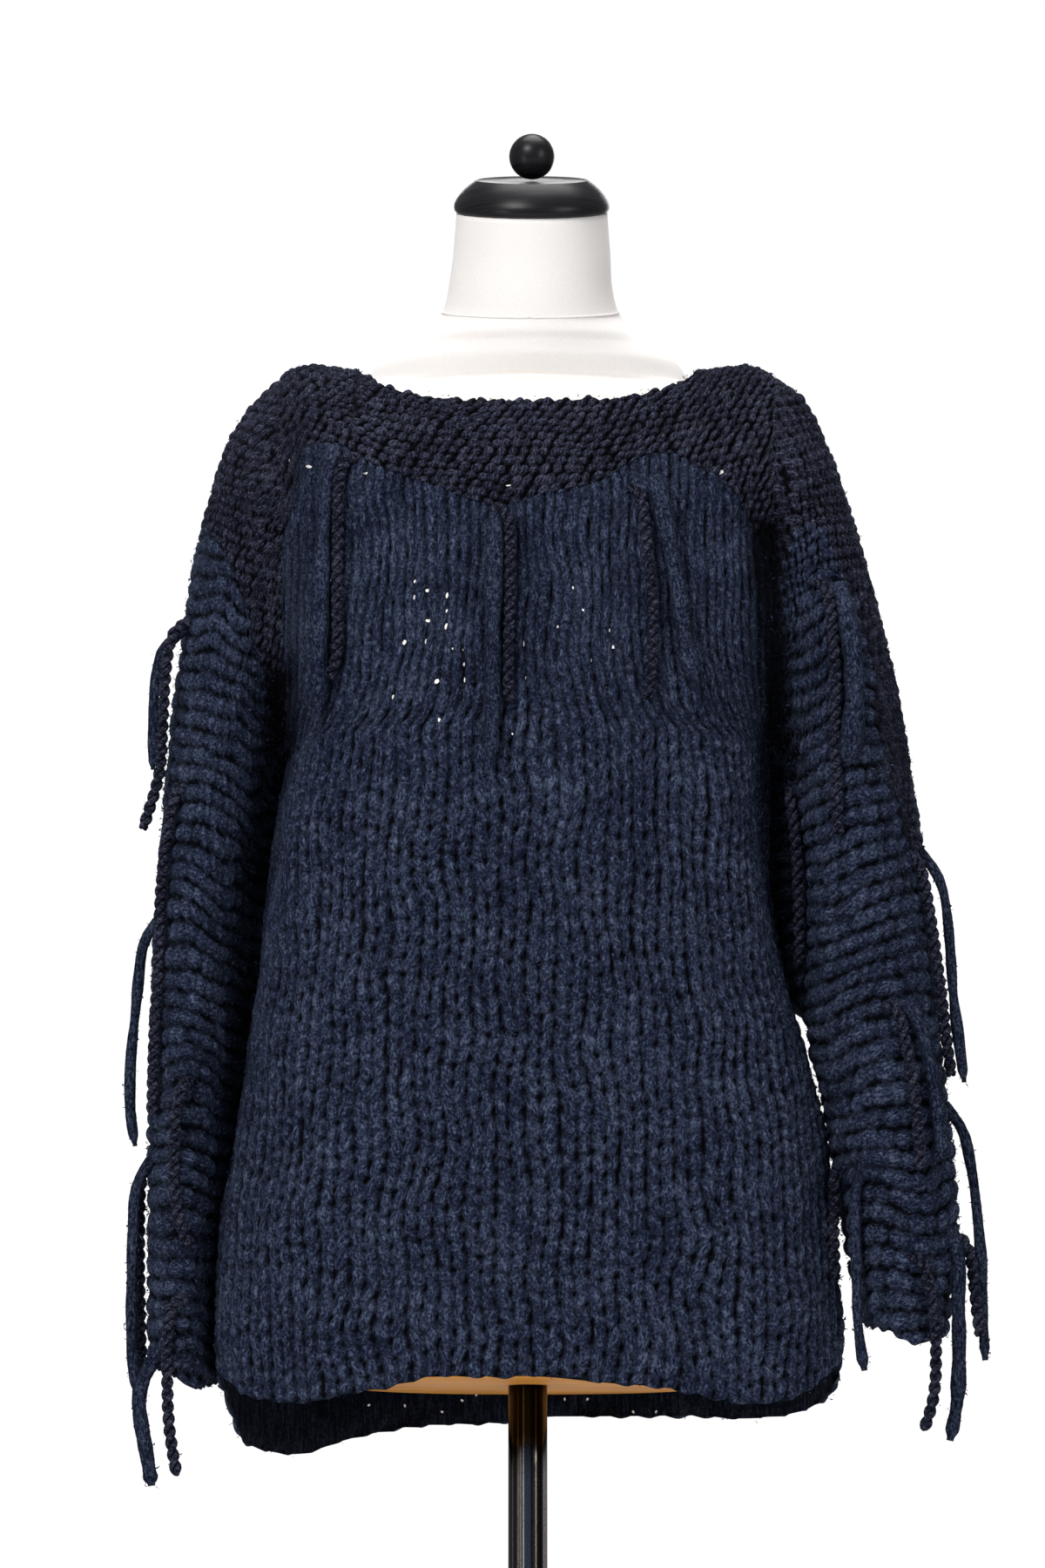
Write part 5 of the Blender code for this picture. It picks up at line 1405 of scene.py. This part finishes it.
def fibres(name, slot, count, material, length_low, length_high):
    """Short bent hairs, two triangles each, rooted at random on the yarn of one colour."""
    points = np.concatenate([p for p, _ in fuzz_seeds[slot]])
    normals = np.concatenate([n for _, n in fuzz_seeds[slot]])
    chosen = chance.integers(0, len(points), count)
    base = points[chosen] + chance.normal(0, 0.0006, (count, 3))
    normal = normals[chosen]
    drift = chance.normal(0, 1, (count, 3))
    drift -= normal * np.sum(drift * normal, axis=1, keepdims=True)
    drift /= np.linalg.norm(drift, axis=1, keepdims=True)
    length = chance.uniform(length_low, length_high, (count, 1))
    lift = chance.uniform(0.10, 0.60, (count, 1))
    bend = chance.normal(0, 0.35, (count, 3))
    middle = base + (drift * 0.5 + normal * lift * 0.75) * length
    tip = base + (drift * 0.95 + normal * lift + bend) * length
    width = np.cross(drift, normal) * FIBRE_HALF
    base = base - normal * 0.0010
    verts = np.stack([base - width, base + width, middle, tip], 1).reshape(-1, 3)
    first = np.arange(count) * 4
    tris = np.concatenate([np.stack([first, first + 1, first + 2], 1),
                           np.stack([first + 2, first + 1, first + 3], 1)])
    item = mesh_object(name, verts, tris, [material], smooth=False)
    knit_marks(item, np.full(len(verts), FIBRE_RISE), verts)
    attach(item, "root")


fibres("navy_fuzz", "navy_wool", 32000, navy_wool, 0.0012, 0.0032)
fibres("dark_fuzz", "dark_wool", 7000, dark_wool, 0.0008, 0.0020)


# Gaps between stitches that show the form

knit_front = np.concatenate(valleys)
gap_places = []
for x, z, half_width, half_height in LIGHT_GAPS:
    near = np.hypot(knit_front[:, 0] - x, knit_front[:, 2] - z) + knit_front[:, 3] * 0.009
    gap_places.append((knit_front[np.argmin(near), :3] - (0, GAP_FLAKE, 0), half_width, half_height))
hem_inside = np.concatenate(hem_insides)
for x, z in HEM_GAPS:
    near = hem_inside[np.argmin(np.hypot(hem_inside[:, 0] - x, hem_inside[:, 2] - z))]
    gap_places.append((np.array([x, near[1] - HEM_GAP_PROUD, z]), HEM_GAP_HALF, HEM_GAP_HALF))

gap_points = []
gap_triangles = []
for centre, half_width, half_height in gap_places:
    start = len(gap_points)
    turn = np.linspace(0, 2 * pi, 8, endpoint=False)
    wobble = 1 + 0.25 * np.sin(turn * 2 + centre[0] * 900)
    for depth in (0.0, GAP_FLAKE):
        for t, w in zip(turn, wobble):
            gap_points.append(centre + np.array([half_width * cos(t) * w, depth, half_height * sin(t) * w]))
    ids = start + np.arange(16).reshape(2, 8)
    gap_triangles += quads(ids, True).tolist()
    for row in (0, 1):
        for k in range(1, 7):
            fan = [ids[row, 0], ids[row, k], ids[row, k + 1]]
            gap_triangles.append(fan[::-1] if row else fan)
gaps = mesh_object("light_gaps", np.array(gap_points), np.array(gap_triangles), [form_cover], smooth=False)
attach(gaps, "root")


# Form and stand

def hard_piece(name, node, points, triangles, material, slot):
    item = mesh_object(name, points, triangles, [material])
    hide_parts(node)
    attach(item, "root")
    return item


def capped(rings):
    """A closed body from rings of equal counts, with flat fans at both ends."""
    points = np.concatenate([rings.reshape(-1, 3), rings[0].mean(axis=0)[None], rings[-1].mean(axis=0)[None]])
    return points, closed_rings(np.arange(rings.shape[0] * rings.shape[1]).reshape(rings.shape[:2]))


def form_ring(position, columns, grow=0.0):
    row = [float(smooth_curve(np.arange(len(FORM)), column)(position)) for column in FORM.T]
    height, width, front_half, back_half, power, cx, cy, tilt = row
    turn = np.linspace(0, 2 * pi, columns, endpoint=False)
    x = (width + grow) * signed_power(np.sin(turn), 2 / power)
    y = -(np.where(np.cos(turn) > 0, front_half, back_half) + grow) * signed_power(np.cos(turn), 2 / power)
    lean = np.radians(tilt)
    return np.stack([cx + x, cy + y * cos(lean), height + y * sin(lean)], 1)


rings = np.stack([form_ring(p, 120) for p in np.linspace(0, len(FORM) - 1, 150)])
hard_piece("covered_form", "form_torso", *capped(rings), form_cover, "form_cover")

seam_path = form_ring(NECK_SEAM_RING, 120, 0.0002)
seam_path = np.concatenate([seam_path, seam_path[:1]])
seam_points, seam_triangles = tube(seam_path, np.full(len(seam_path), NECK_SEAM_HALF), 6)[:2]
seam = mesh_object("neck_seam", seam_points, seam_triangles, [form_cover])
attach(seam, "root")


def turned(profile, columns, place=(0, 0, 0), tilt=0.0):
    """A lathe form from pairs of radius and height."""
    turn = np.linspace(0, 2 * pi, columns, endpoint=False)
    rings = []
    for radius, height in profile:
        x = radius * np.cos(turn)
        y = radius * np.sin(turn)
        rings.append(np.stack([place[0] + x, place[1] + y * cos(tilt) - height * sin(tilt),
                               place[2] + y * sin(tilt) + height * cos(tilt)], 1))
    return capped(np.stack(rings))


hard_piece("turned_cap", "neck_cap", *turned(CAP_PROFILE, 96, CAP_CENTRE, CAP_TILT),
           black_lacquer, "black_lacquer")
ball = [(BALL_RADIUS * sin(pi * k / 40), BALL_HEIGHT - BALL_RADIUS * cos(pi * k / 40)) for k in range(1, 40)]
hard_piece("ball_knob", "cap_ball", *turned(ball, 64, CAP_CENTRE, CAP_TILT),
           black_lacquer, "black_lacquer")
hard_piece("round_base", "base", *turned(BASE_PROFILE, 128), base_paint, "stand_base")
pole_heights = np.linspace(POLE_FOOT, BOARD_LOW - SEAM_GAP, 12)
hard_piece("chrome_pole", "pole", *turned([(POLE_RADIUS, h) for h in pole_heights], 64), chrome, "chrome")
turn = np.linspace(0, 2 * pi, 120, endpoint=False)
outline = np.stack([BOARD_HALF[0] * signed_power(np.sin(turn), BOARD_POWER),
                    -BOARD_HALF[1] * signed_power(np.cos(turn), BOARD_POWER)], 1)
rings = [np.column_stack([outline * scale, np.full(len(outline), height)]) for height, scale in BOARD_PROFILE]
hard_piece("round_board", "form_board", *capped(np.stack(rings)), board_wood, "form_board")


# Camera, light and floor

camera = bpy.data.objects.new("camera", bpy.data.cameras.new("camera"))
camera.data.lens = CAMERA_LENS
camera.data.sensor_width = 36
camera.location = CAMERA_PLACE
camera.rotation_euler = (pi / 2 + CAMERA_PITCH, 0, 0)
bpy.context.scene.collection.objects.link(camera)
bpy.context.scene.camera = camera


def soft_light(name, place, target, size, power):
    light = bpy.data.lights.new(name, "AREA")
    light.shape = "RECTANGLE"
    light.size = size[0]
    light.size_y = size[1]
    light.energy = power
    item = bpy.data.objects.new(name, light)
    item.location = place
    item.rotation_euler = (Vector(target) - Vector(place)).to_track_quat("-Z", "Y").to_euler()
    bpy.context.scene.collection.objects.link(item)


soft_light("key", (-1.2, -2.6, 3.1), (0, 0, 1.0), (1.2, 1.2), 84)
soft_light("fill", (2.4, -2.2, 1.7), (0, 0, 1.0), (1.0, 1.4), 26)
soft_light("top", (0.1, 0.1, 3.2), (0, 0, 1.2), (1.4, 1.4), 36)
soft_light("back", (0.4, 3.4, 2.4), (0, 0, 1.0), (2.4, 1.6), 50)
soft_light("strip", (-1.5, -1.6, 0.7), (0, 0, 0.5), (0.10, 1.5), 7)

world = bpy.data.worlds.new("studio")
world.use_nodes = True
sky = world.node_tree.nodes["Background"]
sky.inputs["Color"].default_value = (1.0, 1.0, 1.0, 1)
sky.inputs["Strength"].default_value = 1.05
dim = world.node_tree.nodes.new("ShaderNodeBackground")
dim.inputs["Color"].default_value = (0.94, 0.96, 1.0, 1)
dim.inputs["Strength"].default_value = 0.22
seen = world.node_tree.nodes.new("ShaderNodeLightPath")
blend = world.node_tree.nodes.new("ShaderNodeMixShader")
world.node_tree.links.new(seen.outputs["Is Camera Ray"], blend.inputs[0])
world.node_tree.links.new(dim.outputs[0], blend.inputs[1])
world.node_tree.links.new(sky.outputs[0], blend.inputs[2])
world.node_tree.links.new(blend.outputs[0], world.node_tree.nodes["World Output"].inputs["Surface"])
bpy.context.scene.world = world
bpy.context.scene.view_settings.view_transform = "Standard"

bpy.ops.mesh.primitive_plane_add(size=12, location=(0, 2.0, 0))
floor = bpy.context.object
floor.name = "floor"
floor.data.materials.append(Look("floor_look", (0.82, 0.82, 0.82), 0.8).material)
